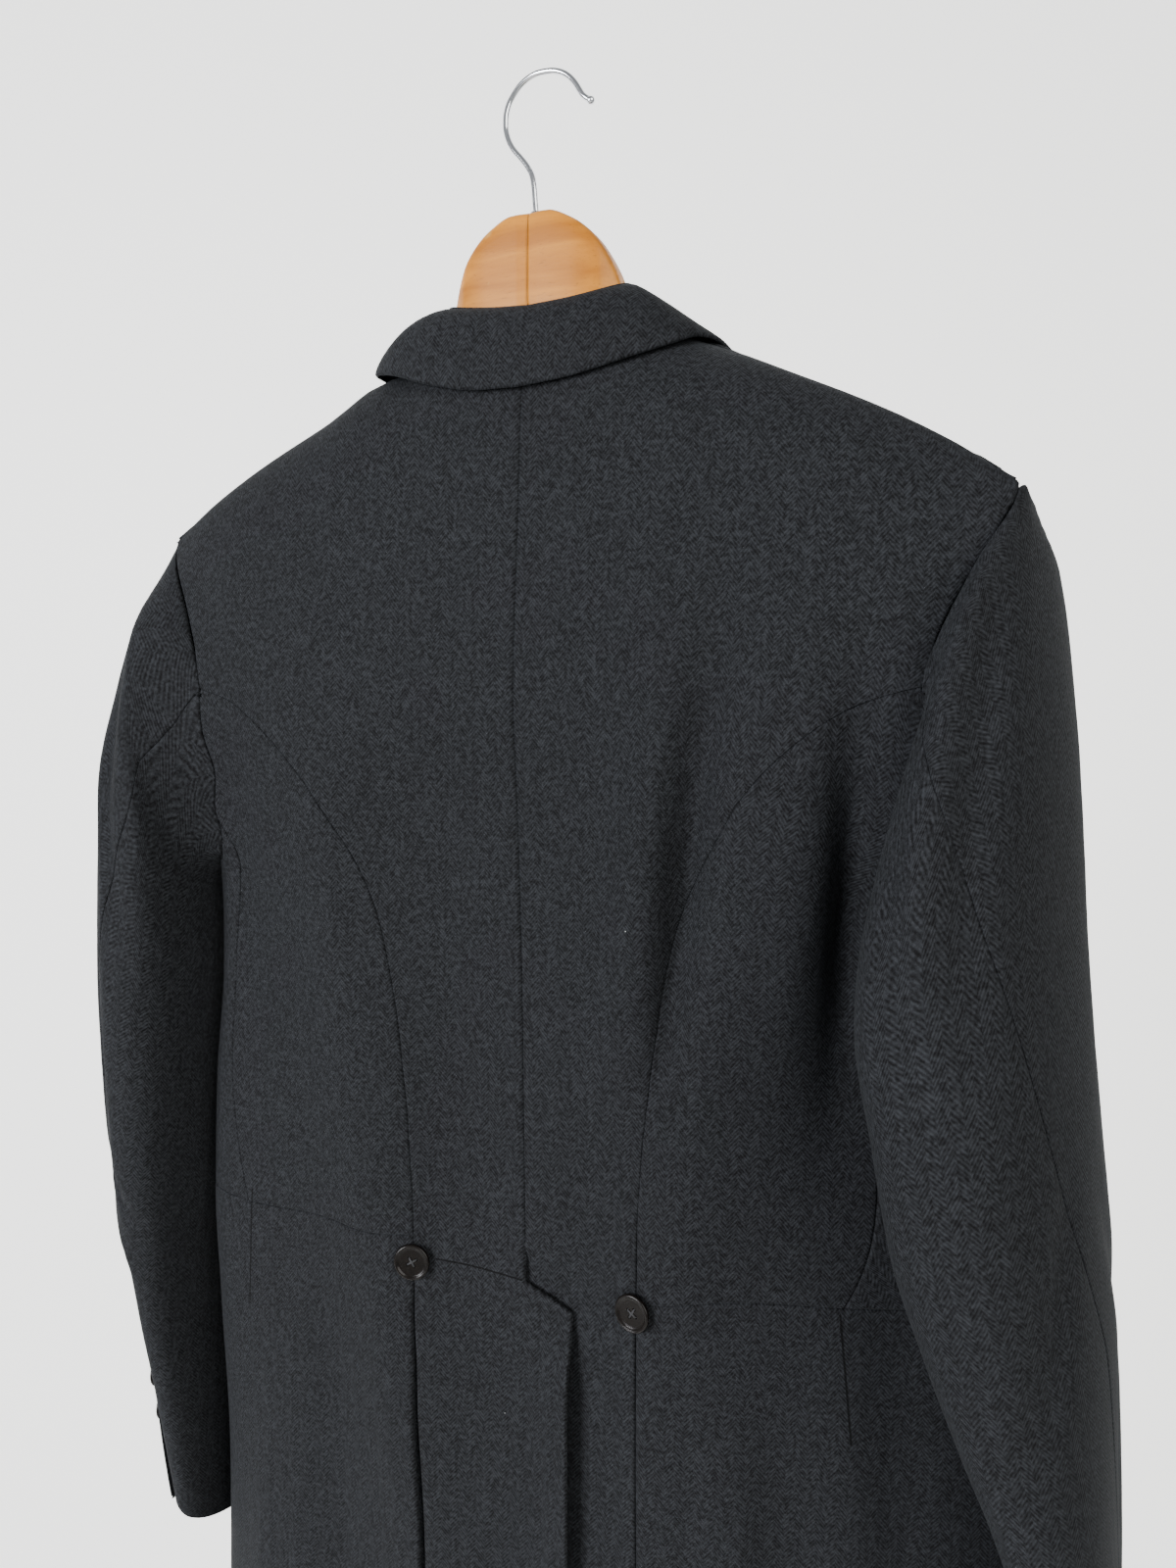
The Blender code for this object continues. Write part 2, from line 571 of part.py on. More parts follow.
def finish(bm, name, material, smooth_faces=True):
    mesh = bpy.data.meshes.new(name)
    bm.to_mesh(mesh)
    bm.free()
    mesh.materials.append(material)
    if smooth_faces:
        mesh.shade_smooth()
    thing = bpy.data.objects.new(name, mesh)
    bpy.context.scene.collection.objects.link(thing)
    return thing


def cloth(name, piece, material, gap=SEAM_GAP, wall=CLOTH):
    """A piece of cloth: a grid laid on its points, thickened inwards by the wall."""
    points, normals = piece
    points = trimmed(points, gap)
    rows, columns = points.shape[:2]
    bm = bmesh.new()
    bmesh.ops.create_grid(bm, x_segments=columns - 1, y_segments=rows - 1, size=1.0)
    place = bm.verts.layers.int.new("place")
    for vert in bm.verts:
        i = round((vert.co.x + 1) / 2 * (columns - 1))
        j = round((vert.co.y + 1) / 2 * (rows - 1))
        vert[place] = j * columns + i
    doubled = bmesh.ops.extrude_face_region(bm, geom=bm.faces[:])
    inner = {item for item in doubled["geom"] if isinstance(item, bmesh.types.BMVert)}
    outer_points = points.reshape(-1, 3)
    inner_points = outer_points - normals.reshape(-1, 3) * wall
    for vert in bm.verts:
        source = inner_points if vert in inner else outer_points
        vert.co = Vector(source[vert[place]]) + Vector(NAPE)
    bmesh.ops.recalc_face_normals(bm, faces=bm.faces)
    return finish(bm, name, material)


def steps(start, end, count):
    return np.linspace(start, end, count)


def stacked(rows):
    points = np.array([row[0] for row in rows])
    normals = np.array([row[1] for row in rows])
    return points, normals


def on_body(side, around, z):
    return body_point(side, around, z), body_normal(side, around, z)


def on_waist(side, around):
    """Points on the waist seam, where the cloth faces level outwards."""
    z = waist_at(side, around)
    points, normals = on_body(side, around, z)
    normals[:, 2] = 0.0
    return points, normals / np.linalg.norm(normals, axis=-1, keepdims=True)


def on_ridge(side, around, z):
    """Points on the neckline and the shoulder seam, where the cloth faces straight up."""
    points = body_point(side, around, z)
    along = np.gradient(points, axis=0)
    along = along / np.linalg.norm(along, axis=-1, keepdims=True)
    normals = np.array((0.0, 0.0, 1.0)) - along * along[:, 2:]
    behind = np.cos(np.radians(around[:, None])) > 0
    points = points + np.where(behind, -1.0, 1.0) * np.array((0.0, RIDGE_GAP, 0.0))
    return points, normals / np.linalg.norm(normals, axis=-1, keepdims=True)


def at_x(side, x, z, front=False, out=0.0):
    """Points at x from the centre, or past the centre where x is negative."""
    x, z = np.broadcast_arrays(np.asarray(x, float), np.asarray(z, float))
    around = around_at(side, np.maximum(x, 0.0), z, front)
    point = body_point(side, around, z, out)
    point[..., 0] += side * np.minimum(x, 0.0)
    return point, body_normal(side, around, z)


def turned_in(corner, normal, side, way, depth):
    """Two more points that turn the cloth's edge in at a pleat, seen from its corner."""
    facing = np.array((side * way, 0.0, 0.0))
    inside = [corner + np.array((side * back * 0.02, back, 0.0)) for back in (depth / 2, depth)]
    bisector = normal + facing
    return np.array(inside), np.array([facing, facing]), bisector / np.linalg.norm(bisector) * 1.3


def back_piece(side, columns=9):
    """Half of the back, from the neckline to the hem, out to the armhole and the curved seam."""
    grid = []
    share = np.concatenate([steps(0.0, 0.97, columns), [0.985, 1.0]])
    for turn in BACK_TURNS[:-1]:
        edge_around, edge_z = armhole(side, turn)
        edge_x = abs(body_point(side, edge_around, edge_z)[0])
        _, top = top_line(share * SHOULDER_HALF)
        fall = (edge_z - top[-1]) / (-JUNCTION_DROP - top[-1])
        z = top + (-JUNCTION_DROP - top) * fall
        around = around_at(side, share * edge_x, z)
        around[-1] = edge_around
        z[-1] = edge_z
        grid.append(on_ridge(side, around, z) if turn == BACK_TURNS[0] else on_body(side, around, z))
    for z in SEAM_LEVELS:
        outer = read(SEAM_ROWS, SEAM_COLUMNS, "height", "across", z)
        grid.append(at_x(side, share * outer, z))
    lap = VENT_LAP if side < 0 else VENT_UNDERLAP
    grid.append(at_x(side, share * PLEAT_HALF, seam_levels(side)[-1]))
    for z in VENT_LEVELS + TAIL_LEVELS:
        turned = 1.0 if z < VENT_LEVELS[0] else 0.25
        inner = -lap if z < VENT_LEVELS[0] else 0.0
        corner = PLEAT_HALF - turned * pleat_gap(side, z) / 2
        points, normals = at_x(side, inner + (corner - inner) * steps(0.0, 1.0, columns), z)
        inside, facing, bisector = turned_in(points[-1], normals[-1], side, 1.0, turned * PLEAT_TURN)
        normals[-1] = bisector
        grid.append((np.vstack([points, inside]), np.vstack([normals, facing])))
    return stacked(grid)


def pleat_gap(side, z):
    """Width of the slit of the pleat. The left one stands open, more so lower down."""
    low = float(ease((-z - WAIST_DROP) / 0.12))
    return (0.0012 + 0.0030 * low) if side < 0 else 0.0010


def sidebody_piece(side, columns=6):
    grid = []
    share = steps(0.0, 1.0, columns)
    levels = side_levels(side)
    for row, seam_z in enumerate(seam_levels(side)):
        if row < len(SIDE_TURNS):
            edge_around, edge_z = armhole(side, SIDE_TURNS[row])
        else:
            edge_z = levels[row - len(SIDE_TURNS)]
            edge_around = side_around(side, edge_z)
        z = seam_z + (edge_z - seam_z) * share
        inner = around_at(side, read(SEAM_ROWS, SEAM_COLUMNS, "height", "across", seam_z), seam_z)
        around = inner + (edge_around - inner) * share
        if row == 0:
            # The tip at the junction is cut a little blunt
            low_around, low_z = armhole(side, SIDE_TURNS[0] + 2.0)
            around = edge_around + (low_around - edge_around) * share
            z = edge_z + (low_z - edge_z) * share
        last = row == len(SEAM_LEVELS)
        grid.append(on_waist(side, around) if last else on_body(side, around, z))
    return stacked(grid)


def side_levels(side):
    """Heights of the side seam's points, down to the waist seam."""
    _, top = armhole(side, SIDE_TURN)
    low = float(waist_at(side, around_at(side, SIDE_WAIST[side], -WAIST_DROP)))
    count = len(SEAM_LEVELS) + 1 - len(SIDE_TURNS)
    return [float(top + (low - top) * (row + 1) / count) for row in range(count)]


def under_armhole(side, around):
    """Height of the armhole's lower edge above a place on the body's section."""
    turns = steps(SIDE_TURN, 250.0, 30)
    angles, heights = armhole(side, turns)
    return np.where(around > angles[-1], heights[-1], np.interp(around, angles, heights))


def front_row(side, inner_z, edge_around, edge_z, share, first=False, last=False):
    across = float(read(ROLL_ROWS, ROLL_COLUMNS, "height", "across", inner_z))
    if first:
        x = across + (SHOULDER_HALF - across) * share
        _, z = top_line(x)
        return on_ridge(side, around_at(side, x, z, front=True), z)
    x_edge = abs(body_point(side, edge_around, edge_z)[0])
    _, top = top_line(NECK_HALF + (SHOULDER_HALF - NECK_HALF) * share)
    sag = top - (top[0] + (top[-1] - top[0]) * share)
    z = inner_z + (edge_z - inner_z) * share + sag * (1 - ease((top[-1] - edge_z) / 0.10))
    inner = 180.0 - float(around_at(side, max(across, 0.0), inner_z))
    by_turn = inner + (edge_around - inner) * share
    by_x = around_at(side, np.maximum(across + (x_edge - across) * share, 0.0), z, front=True)
    mix = float(ease((edge_around - 112.0) / 12.0))
    around = by_x * mix + by_turn * (1 - mix)
    around[-1] = edge_around
    # Rows that end under the armhole keep below its edge
    limit = under_armhole(side, around) - UNDERARM_SPREAD * (around - edge_around)
    z = np.where(around > edge_around, np.minimum(z, limit), z) if edge_z < UNDERARM_START else z
    points, normals = on_waist(side, around) if last else on_body(side, around, z)
    points[:, 0] += side * min(across, 0.0) * (1 - share)**2
    return points, normals


def forepart_piece(side, columns=11):
    """A front, from the shoulder seam and the roll line round to the side seam."""
    grid = []
    share = steps(0.0, 1.0, columns)
    top_z = ROLL_ROWS[0][0]
    for number, turn in enumerate(FRONT_TURNS):
        edge_around, edge_z = armhole(side, turn)
        inner_z = float(smooth((SIDE_TURN, 196.0, 360.0), (-0.312, -0.262, top_z), turn))
        grid.append(front_row(side, inner_z, float(edge_around), float(edge_z), share, number == 0))
    levels = side_levels(side)
    for number, edge_z in enumerate(levels):
        inner_z = -0.312 + (-WAIST_DROP + 0.312) * (number + 1) / len(levels)
        last = number == len(levels) - 1
        grid.append(front_row(side, inner_z, float(side_around(side, edge_z)), edge_z, share, last=last))
    return stacked(grid)


def skirt_piece(side, columns=14):
    """A skirt, from the waist seam to the hem, from the pleat round to the cut-away edge."""
    grid = []
    spread = steps(0.0, 1.0, columns)**1.5
    for z in (seam_levels(side)[-1],) + VENT_LEVELS + TAIL_LEVELS:
        outer = float(read(CUTAWAY_ROWS, CUTAWAY_COLUMNS, "height", "around", z))
        turned = 1.0 if z < VENT_LEVELS[0] else 0.25
        corner = PLEAT_HALF + turned * pleat_gap(side, z) / 2
        if z > VENT_LEVELS[0]:
            share = np.concatenate([[0.0, 0.004], 0.008 + 0.992 * spread])
            inner = float(around_at(side, PLEAT_HALF, z))
            around = inner + (outer - inner) * share
            grid.append(on_waist(side, around))
            continue
        inner = float(around_at(side, corner, z))
        points, normals = on_body(side, inner + (outer - inner) * spread, np.full(columns, z))
        inside, facing, bisector = turned_in(points[0], normals[0], side, -1.0, turned * PLEAT_TURN)
        normals[0] = bisector
        grid.append((np.vstack([inside[::-1], points]), np.vstack([facing, normals])))
    return stacked(grid)


def lapel_piece(side, rows=11, columns=6):
    """A peaked lapel, lying on the forepart from the roll line to its outer edge."""
    grid = []
    share = steps(0.0, 1.0, columns)
    for along in steps(0.0, 1.0, rows)**1.1:
        roll_z = float(read(LAPEL_ROWS, LAPEL_COLUMNS, "along", "roll_z", along))
        edge_x = float(read(LAPEL_ROWS, LAPEL_COLUMNS, "along", "edge_x", along))
        edge_z = float(read(LAPEL_ROWS, LAPEL_COLUMNS, "along", "edge_z", along))
        across = float(read(ROLL_ROWS, ROLL_COLUMNS, "height", "across", roll_z))
        if side > 0:
            # The right lapel ends beside the lap of the left front
            across = max(across, 0.0018 - across)
            edge_x = max(edge_x, across + 0.004)
        x = across + (edge_x - across) * share
        dip = PEAK_DIP * ease(1 - along / 0.12) * np.sin(math.pi * share**0.8)
        z = roll_z + (edge_z - roll_z) * share - dip
        grid.append(at_x(side, x, z, front=True, out=LAPEL_OUT))
    return stacked(grid)


# Collar

def collar_line(along):
    side = 1 if along >= 0 else -1
    value = {}
    for name in COLLAR_COLUMNS[1:]:
        value[name] = float(read(COLLAR_ROWS[side], COLLAR_COLUMNS, "along", name, abs(along)))
    fold = np.array((side * value["fold_x"], value["fold_y"], value["fold_z"]))
    edge = np.array((side * value["edge_x"], value["edge_y"], value["edge_z"]))
    return fold, edge, value


def fall_point(along, share):
    fold, edge, value = collar_line(along)
    out = 1 - (1 - share)**value["roll"]
    down = share**value["slope"]
    flat = fold[:2] + (edge[:2] - fold[:2]) * out
    return np.array((flat[0], flat[1], fold[2] + (edge[2] - fold[2]) * down))


def grid_normals(points, towards):
    """Directions out of a grid of points, on the side that looks away from a place."""
    down = np.gradient(points, axis=0)
    across = np.gradient(points, axis=1)
    normals = np.cross(down, across)
    normals = normals / np.linalg.norm(normals, axis=-1, keepdims=True)
    away = points - np.asarray(towards)
    return normals * np.sign(np.sum(normals * away, axis=-1, keepdims=True))


def fall_piece(rows=23, columns=7):
    """The collar's fall, from its fold line down to its edge, right round the neck."""
    share = steps(0.0, 1.0, columns)
    points = np.array([[fall_point(along, one) for one in share] for along in steps(-1.0, 1.0, rows)])
    normals = grid_normals(points, (0.0, 0.060, -0.030))
    normals[:, 0] = (0.0, 0.0, 1.0)
    return points, normals


def neck_seam(along):
    """The seam that joins the collar's stand to the neckline."""
    side = math.copysign(1.0, along)
    share = abs(along) / STAND_NECK
    if share <= 1.0:
        depth, height = top_line(NECK_HALF * share)
        return np.array((side * NECK_HALF * share, float(depth), float(height)))
    z = ROLL_ROWS[0][0] + (LAPEL_ROWS[0][1] - ROLL_ROWS[0][0]) * (share - 1) / (1 / STAND_NECK - 1)
    across = float(read(ROLL_ROWS, ROLL_COLUMNS, "height", "across", z))
    return at_x(side, across, z, front=True)[0]


def stand_piece(rows=23, columns=4):
    """The collar's stand, from the neck seam up to the fold line, just inside the fall."""
    grid = []
    share = steps(0.0, 1.0, columns)
    for along in steps(-1.0, 1.0, rows):
        fold, edge, _ = collar_line(along)
        seam = neck_seam(along)
        inwards = fold - edge
        inwards[2] = 0.0
        inwards /= np.linalg.norm(inwards)
        top = fold + inwards * 0.0011
        low = seam + np.array((0.0, 0.0, 0.0004))
        bow = np.sin(math.pi * share[:, None]) * (inwards * 0.8 - np.array((0.0, 0.0, 0.6)))
        points = low + (top - low) * share[:, None] + STAND_BOW * bow
        normals = np.tile(-inwards, (columns, 1))
        grid.append((points, normals))
    return stacked(grid)


# Sleeves

def sleeve_section(side, along, turn):
    """A point of the sleeve's free sections, before it is joined to the armhole."""
    rows = SLEEVE_ROWS[side]
    mark = along * (len(rows) - 1)
    marks = np.arange(len(rows))
    value = {}
    for name in SLEEVE_COLUMNS:
        value[name] = smooth(marks, column(rows, SLEEVE_COLUMNS, name), mark)
    angle = np.radians(turn)
    power = 2.0 / SLEEVE_SQUARE
    cosine = np.sign(np.cos(angle)) * np.abs(np.cos(angle))**power
    sine = np.sign(np.sin(angle)) * np.abs(np.sin(angle))**power
    yaw = np.radians(value["yaw"])
    x = value["x"] + value["half_thick"] * cosine * np.cos(yaw) - value["half_deep"] * sine * np.sin(yaw)
    y = value["y"] - value["half_thick"] * cosine * np.sin(yaw) - value["half_deep"] * sine * np.cos(yaw)
    middle = (value["outer_z"] + value["inner_z"]) / 2
    z = middle + (value["outer_z"] - value["inner_z"]) / 2 * cosine
    return np.stack([side * x, y, z], axis=-1)


def sleeve_point(side, along, turn):
    """A point of the sleeve. along runs from 0 at the armhole to 1 at the cuff."""
    along, turn = np.broadcast_arrays(np.asarray(along, float), np.asarray(turn, float))
    turn = turn % 360.0
    around, height = armhole(side, turn)
    edge = body_point(side, around, height)
    tie = (1 - ease(along / SLEEVE_TIE))[..., None]
    return edge * tie + sleeve_section(side, along, turn) * (1 - tie)


def on_sleeve(side, along, turn):
    turn = np.asarray(turn, float)
    near = max(along - 0.004, 0.0)
    turned = sleeve_point(side, along, turn + 1.5) - sleeve_point(side, along, turn - 1.5)
    lower = sleeve_point(side, min(near + 0.008, 1.0), turn) - sleeve_point(side, near, turn)
    normals = np.cross(turned, lower) * side
    normals = normals / np.linalg.norm(normals, axis=-1, keepdims=True)
    middle = sleeve_section(side, along, 0.0) / 2 + sleeve_section(side, along, 180.0) / 2
    outwards = sleeve_point(side, along, turn) - middle
    outwards[..., 2] *= 0.5
    flip = np.sign(np.sum(normals * outwards, axis=-1, keepdims=True))
    return sleeve_point(side, along, turn), normals * flip


def sleeve_piece(side, turns, from_turn, to_turn, rows=16):
    """A sleeve's half on a grid from the armhole to the cuff. turns are its points at the armhole."""
    grid = []
    turns = np.array(turns)
    share = (turns - turns[0]) / (turns[-1] - turns[0])
    for along in steps(0.0, 1.0, rows)**1.25:
        start = from_turn(side, along)
        turn = start + (to_turn(side, along) - start) * share
        points, normals = on_sleeve(side, along, turn)
        if along == 0.0:
            way = sleeve_point(side, 0.02, turn) - points
            points = points + way / np.linalg.norm(way, axis=-1, keepdims=True) * SLEEVE_RISE
            around, height = armhole(side, turn % 360.0)
            points = points + body_normal(side, around, height) * SLEEVE_RISE
            points = points + np.array((side * SLEEVE_RISE, 0.0, 0.0))
        grid.append((points, normals))
    return stacked(grid)


def elbow_turn(side, along):
    return float(read(ELBOW_ROWS[side], ELBOW_COLUMNS, "along", "turn", along))


def forearm_turn(side, along):
    return float(read(FOREARM_ROWS[side], ELBOW_COLUMNS, "along", "turn", along))


def elbow_turn_round(side, along):
    return elbow_turn(side, along) + 360.0


# Buttons

def button(name, radius, centre, axis, material, sides=20, hole_sides=6):
    """A four-hole button with a raised rim, lying on its back."""
    thick = 0.17 * 2 * radius
    rim = 0.16 * radius
    hole_ring = 0.26 * radius
    hole = 0.095 * radius
    bm = bmesh.new()
    outline = (
        (0.0, 0.0),
        (radius * 0.80, 0.0),
        (radius, thick * 0.45),
        (radius - rim * 0.5, thick),
        (radius - rim * 1.6, thick * 0.72),
        (0.0, thick * 0.66),
    )
    verts = [bm.verts.new((x, 0.0, z)) for x, z in outline]
    edges = [bm.edges.new(pair) for pair in zip(verts, verts[1:])]
    bmesh.ops.spin(bm, geom=verts + edges, cent=(0, 0, 0), axis=(0, 0, 1), angle=math.tau,
                   steps=sides, use_merge=True)
    bmesh.ops.remove_doubles(bm, verts=bm.verts, dist=1e-6)
    bmesh.ops.recalc_face_normals(bm, faces=bm.faces)
    thing = finish(bm, name, material)
    for number in range(4):
        angle = math.tau * (number + 0.5) / 4
        cutter_mesh = bmesh.new()
        bmesh.ops.create_cone(cutter_mesh, cap_ends=True, segments=hole_sides, radius1=hole,
                              radius2=hole, depth=thick * 3)
        cutter = finish(cutter_mesh, f"{name}_hole_{number}", material, False)
        cutter.hide_render = True
        cutter.display_type = "WIRE"
        cutter.parent = thing
        cutter.location = (math.cos(angle) * hole_ring, math.sin(angle) * hole_ring, thick / 2)
        cut = thing.modifiers.new("hole", "BOOLEAN")
        cut.operation = "DIFFERENCE"
        cut.solver = "EXACT"
        cut.object = cutter
    axis = Vector(axis).normalized()
    thing.rotation_mode = "QUATERNION"
    thing.rotation_quaternion = axis.to_track_quat("Z", "Y")
    thing.location = Vector(centre) + Vector(NAPE) + axis * 0.0006
    return thing


# Hanger

def hanger_arm(side, name, material, hook_hole):
    """One wooden arm: sections along its length, joined up and rounded at the edges."""
    bm = bmesh.new()
    rings = []
    for across, top, bottom, depth in ARM_ROWS:
        half = HANGER_THICK / 2
        ring = []
        for corner in ((-1, bottom), (1, bottom), (1, top), (-1, top)):
            place = (HANGER_SIDE + side * across, depth + corner[0] * half, corner[1])
            ring.append(bm.verts.new(Vector(place) + Vector(NAPE)))
        rings.append(ring)
    for one, two in zip(rings, rings[1:]):
        for i in range(4):
            j = (i + 1) % 4
            bm.faces.new((one[i], one[j], two[j], two[i]))
    bm.faces.new(rings[0])
    bm.faces.new(rings[-1])
    bmesh.ops.recalc_face_normals(bm, faces=bm.faces)
    long_edges = []
    for one, two in zip(rings, rings[1:]):
        for i in range(4):
            long_edges.append(bm.edges.get((one[i], two[i])))
    long_edges += [bm.edges.get((rings[-1][i], rings[-1][(i + 1) % 4])) for i in range(4)]
    bmesh.ops.bevel(bm, geom=long_edges, offset=0.0035, segments=2, affect="EDGES", profile=0.5,
                    material=-1, clamp_overlap=True)
    thing = finish(bm, name, material)
    cut = thing.modifiers.new("hole", "BOOLEAN")
    cut.operation = "DIFFERENCE"
    cut.solver = "EXACT"
    cut.object = hook_hole
    return thing


def hook_hole_cutter(material):
    bm = bmesh.new()
    radius = HOOK_WIRE / 2 + SEAM_GAP
    bmesh.ops.create_cone(bm, cap_ends=True, segments=12, radius1=radius, radius2=radius, depth=0.040)
    cutter = finish(bm, "hook_hole", material, False)
    cutter.hide_render = True
    cutter.display_type = "WIRE"
    cutter.location = Vector((HOOK_SIDE, HOOK_DEPTH, 0.0876)) + Vector(NAPE)
    return cutter


def hook(name, material, sides=8):
    """The bent wire, with a small ball at its free end."""
    line = np.array([(HOOK_SIDE + x, HOOK_DEPTH, z) for x, z in HOOK_ROWS]) + np.array(NAPE)
    bm = bmesh.new()
    rings = []
    swell = np.ones(len(line))
    swell[-1] = 1.35
    for number, point in enumerate(line):
        before = line[max(number - 1, 0)]
        after = line[min(number + 1, len(line) - 1)]
        way = Vector(after - before).normalized()
        flat = Vector((0.0, 1.0, 0.0))
        up = flat.cross(way)
        ring = []
        for i in range(sides):
            angle = math.tau * i / sides
            radius = HOOK_WIRE / 2 * swell[number]
            ring.append(bm.verts.new(Vector(point) + (flat * math.cos(angle) + up * math.sin(angle)) * radius))
        rings.append(ring)
    for one, two in zip(rings, rings[1:]):
        for i in range(sides):
            j = (i + 1) % sides
            bm.faces.new((one[i], one[j], two[j], two[i]))
    bm.faces.new(rings[0])
    bm.faces.new(rings[-1])
    bmesh.ops.recalc_face_normals(bm, faces=bm.faces)
    return finish(bm, name, material)


def waist_button(side, material):
    word = "left" if side < 0 else "right"
    base, normal = at_x(side, PLEAT_HALF, -WAIST_DROP - WAIST_BUTTON_DROP[side], out=0.0)
    return button(f"waist_button_{word}", WAIST_BUTTON / 2, base, normal, material)


def cuff_buttons(side, material):
    word = "left" if side < 0 else "right"
    for number in range(SLEEVE_BUTTONS):
        along = 0.900 + 0.034 * number
        base, normal = on_sleeve(side, along, elbow_turn(side, along) - CUFF_BUTTON_TURN)
        button(f"cuff_button_{word}_{number + 1}", CUFF_BUTTON / 2, base, normal, material, 14)


def main():
    clear_scene()
    worsted = make_material("worsted", 0.9)
    horn = make_material("button", 0.35)
    wood = make_material("wood", 0.35)
    chrome = make_material("chrome", 0.15, 1.0)
    for side, word in ((-1, "left"), (1, "right")):
        cloth(f"back_{word}", back_piece(side), worsted)
        cloth(f"sidebody_{word}", sidebody_piece(side), worsted)
        cloth(f"forepart_{word}", forepart_piece(side), worsted)
        cloth(f"skirt_{word}", skirt_piece(side), worsted)
        under = sleeve_piece(side, UNDER_TURNS, elbow_turn, forearm_turn)
        cloth(f"under_sleeve_{word}", under, worsted, SLEEVE_SEAM_GAP)
        top = sleeve_piece(side, TOP_TURNS, forearm_turn, elbow_turn_round)
        cloth(f"top_sleeve_{word}", top, worsted, SLEEVE_SEAM_GAP)
        cloth(f"lapel_{word}", lapel_piece(side), worsted)
        waist_button(side, horn)
        cuff_buttons(side, horn)
    cloth("collar_fall", fall_piece(), worsted)
    cloth("collar_stand", stand_piece(), worsted)
    hole = hook_hole_cutter(wood)
    hanger_arm(-1, "hanger_left", wood, hole)
    hanger_arm(1, "hanger_right", wood, hole)
    hook("hook", chrome)
    base, normal = at_x(-1, 0.0, -0.424, front=True)
    button("front_button", WAIST_BUTTON / 2, base, normal, horn)


main()
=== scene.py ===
# Morning coat on a wooden hanger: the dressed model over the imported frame
import math

import bmesh
import bpy
import numpy as np
from mathutils import Matrix, Vector


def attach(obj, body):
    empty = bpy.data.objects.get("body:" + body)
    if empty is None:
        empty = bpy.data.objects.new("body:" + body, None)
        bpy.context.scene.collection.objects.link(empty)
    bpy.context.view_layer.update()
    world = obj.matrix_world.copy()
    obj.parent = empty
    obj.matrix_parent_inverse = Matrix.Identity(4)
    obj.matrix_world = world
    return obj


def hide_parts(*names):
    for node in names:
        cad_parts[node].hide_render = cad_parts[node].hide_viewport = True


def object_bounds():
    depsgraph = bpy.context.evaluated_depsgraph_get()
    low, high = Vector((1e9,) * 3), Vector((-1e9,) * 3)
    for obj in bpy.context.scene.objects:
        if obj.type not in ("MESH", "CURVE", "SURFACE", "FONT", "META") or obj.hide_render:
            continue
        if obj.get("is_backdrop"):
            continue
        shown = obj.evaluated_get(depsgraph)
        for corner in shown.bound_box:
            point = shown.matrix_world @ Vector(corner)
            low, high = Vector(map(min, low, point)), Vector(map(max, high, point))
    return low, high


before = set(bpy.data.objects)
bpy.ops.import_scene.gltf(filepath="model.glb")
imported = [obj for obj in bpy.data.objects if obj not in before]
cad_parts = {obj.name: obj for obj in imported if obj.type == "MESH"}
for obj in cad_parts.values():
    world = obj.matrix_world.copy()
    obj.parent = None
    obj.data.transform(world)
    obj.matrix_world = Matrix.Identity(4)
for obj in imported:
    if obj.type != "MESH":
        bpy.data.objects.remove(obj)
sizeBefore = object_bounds()
print("frame loaded")

nape = np.array((0.0, -0.0185, -0.1560))  # back of the neck, in the frame's own metres


# one table is a dictionary of columns and rows; sided tables have rows for 1 (right) and -1 (left)
def column(table, name, side=0):
    rows = table[side] if side else table["rows"]
    at = table["columns"].index(name)
    return np.array([row[at] for row in rows])


def smoothCurve(xs, ys, x):
    xs = np.asarray(xs, float)
    ys = np.asarray(ys, float)
    if xs[0] > xs[-1]:
        xs = xs[::-1]
        ys = ys[::-1]
    run = np.diff(xs)
    rise = np.diff(ys) / run
    slope = np.empty_like(ys)
    slope[0] = rise[0]
    slope[-1] = rise[-1]
    product = rise[:-1] * rise[1:]
    total = rise[:-1] + rise[1:]
    total = np.where(np.abs(total) < 1e-12, 1.0, total)
    slope[1:-1] = np.where(product > 0, 2 * product / total, 0.0)  # never swings past its points
    x = np.clip(x, xs[0], xs[-1])
    i = np.clip(np.searchsorted(xs, x) - 1, 0, len(run) - 1)
    t = (x - xs[i]) / run[i]
    h = run[i]
    return ((2 * t**3 - 3 * t**2 + 1) * ys[i] + (t**3 - 2 * t**2 + t) * h * slope[i]
            + (3 * t**2 - 2 * t**3) * ys[i + 1] + (t**3 - t**2) * h * slope[i + 1])


def read(table, key, name, value, side=0):
    return smoothCurve(column(table, key, side), column(table, name, side), value)


def ease(t):
    t = np.clip(t, 0.0, 1.0)
    return t * t * (3 - 2 * t)


def steps(start, end, count):
    return np.linspace(start, end, count)


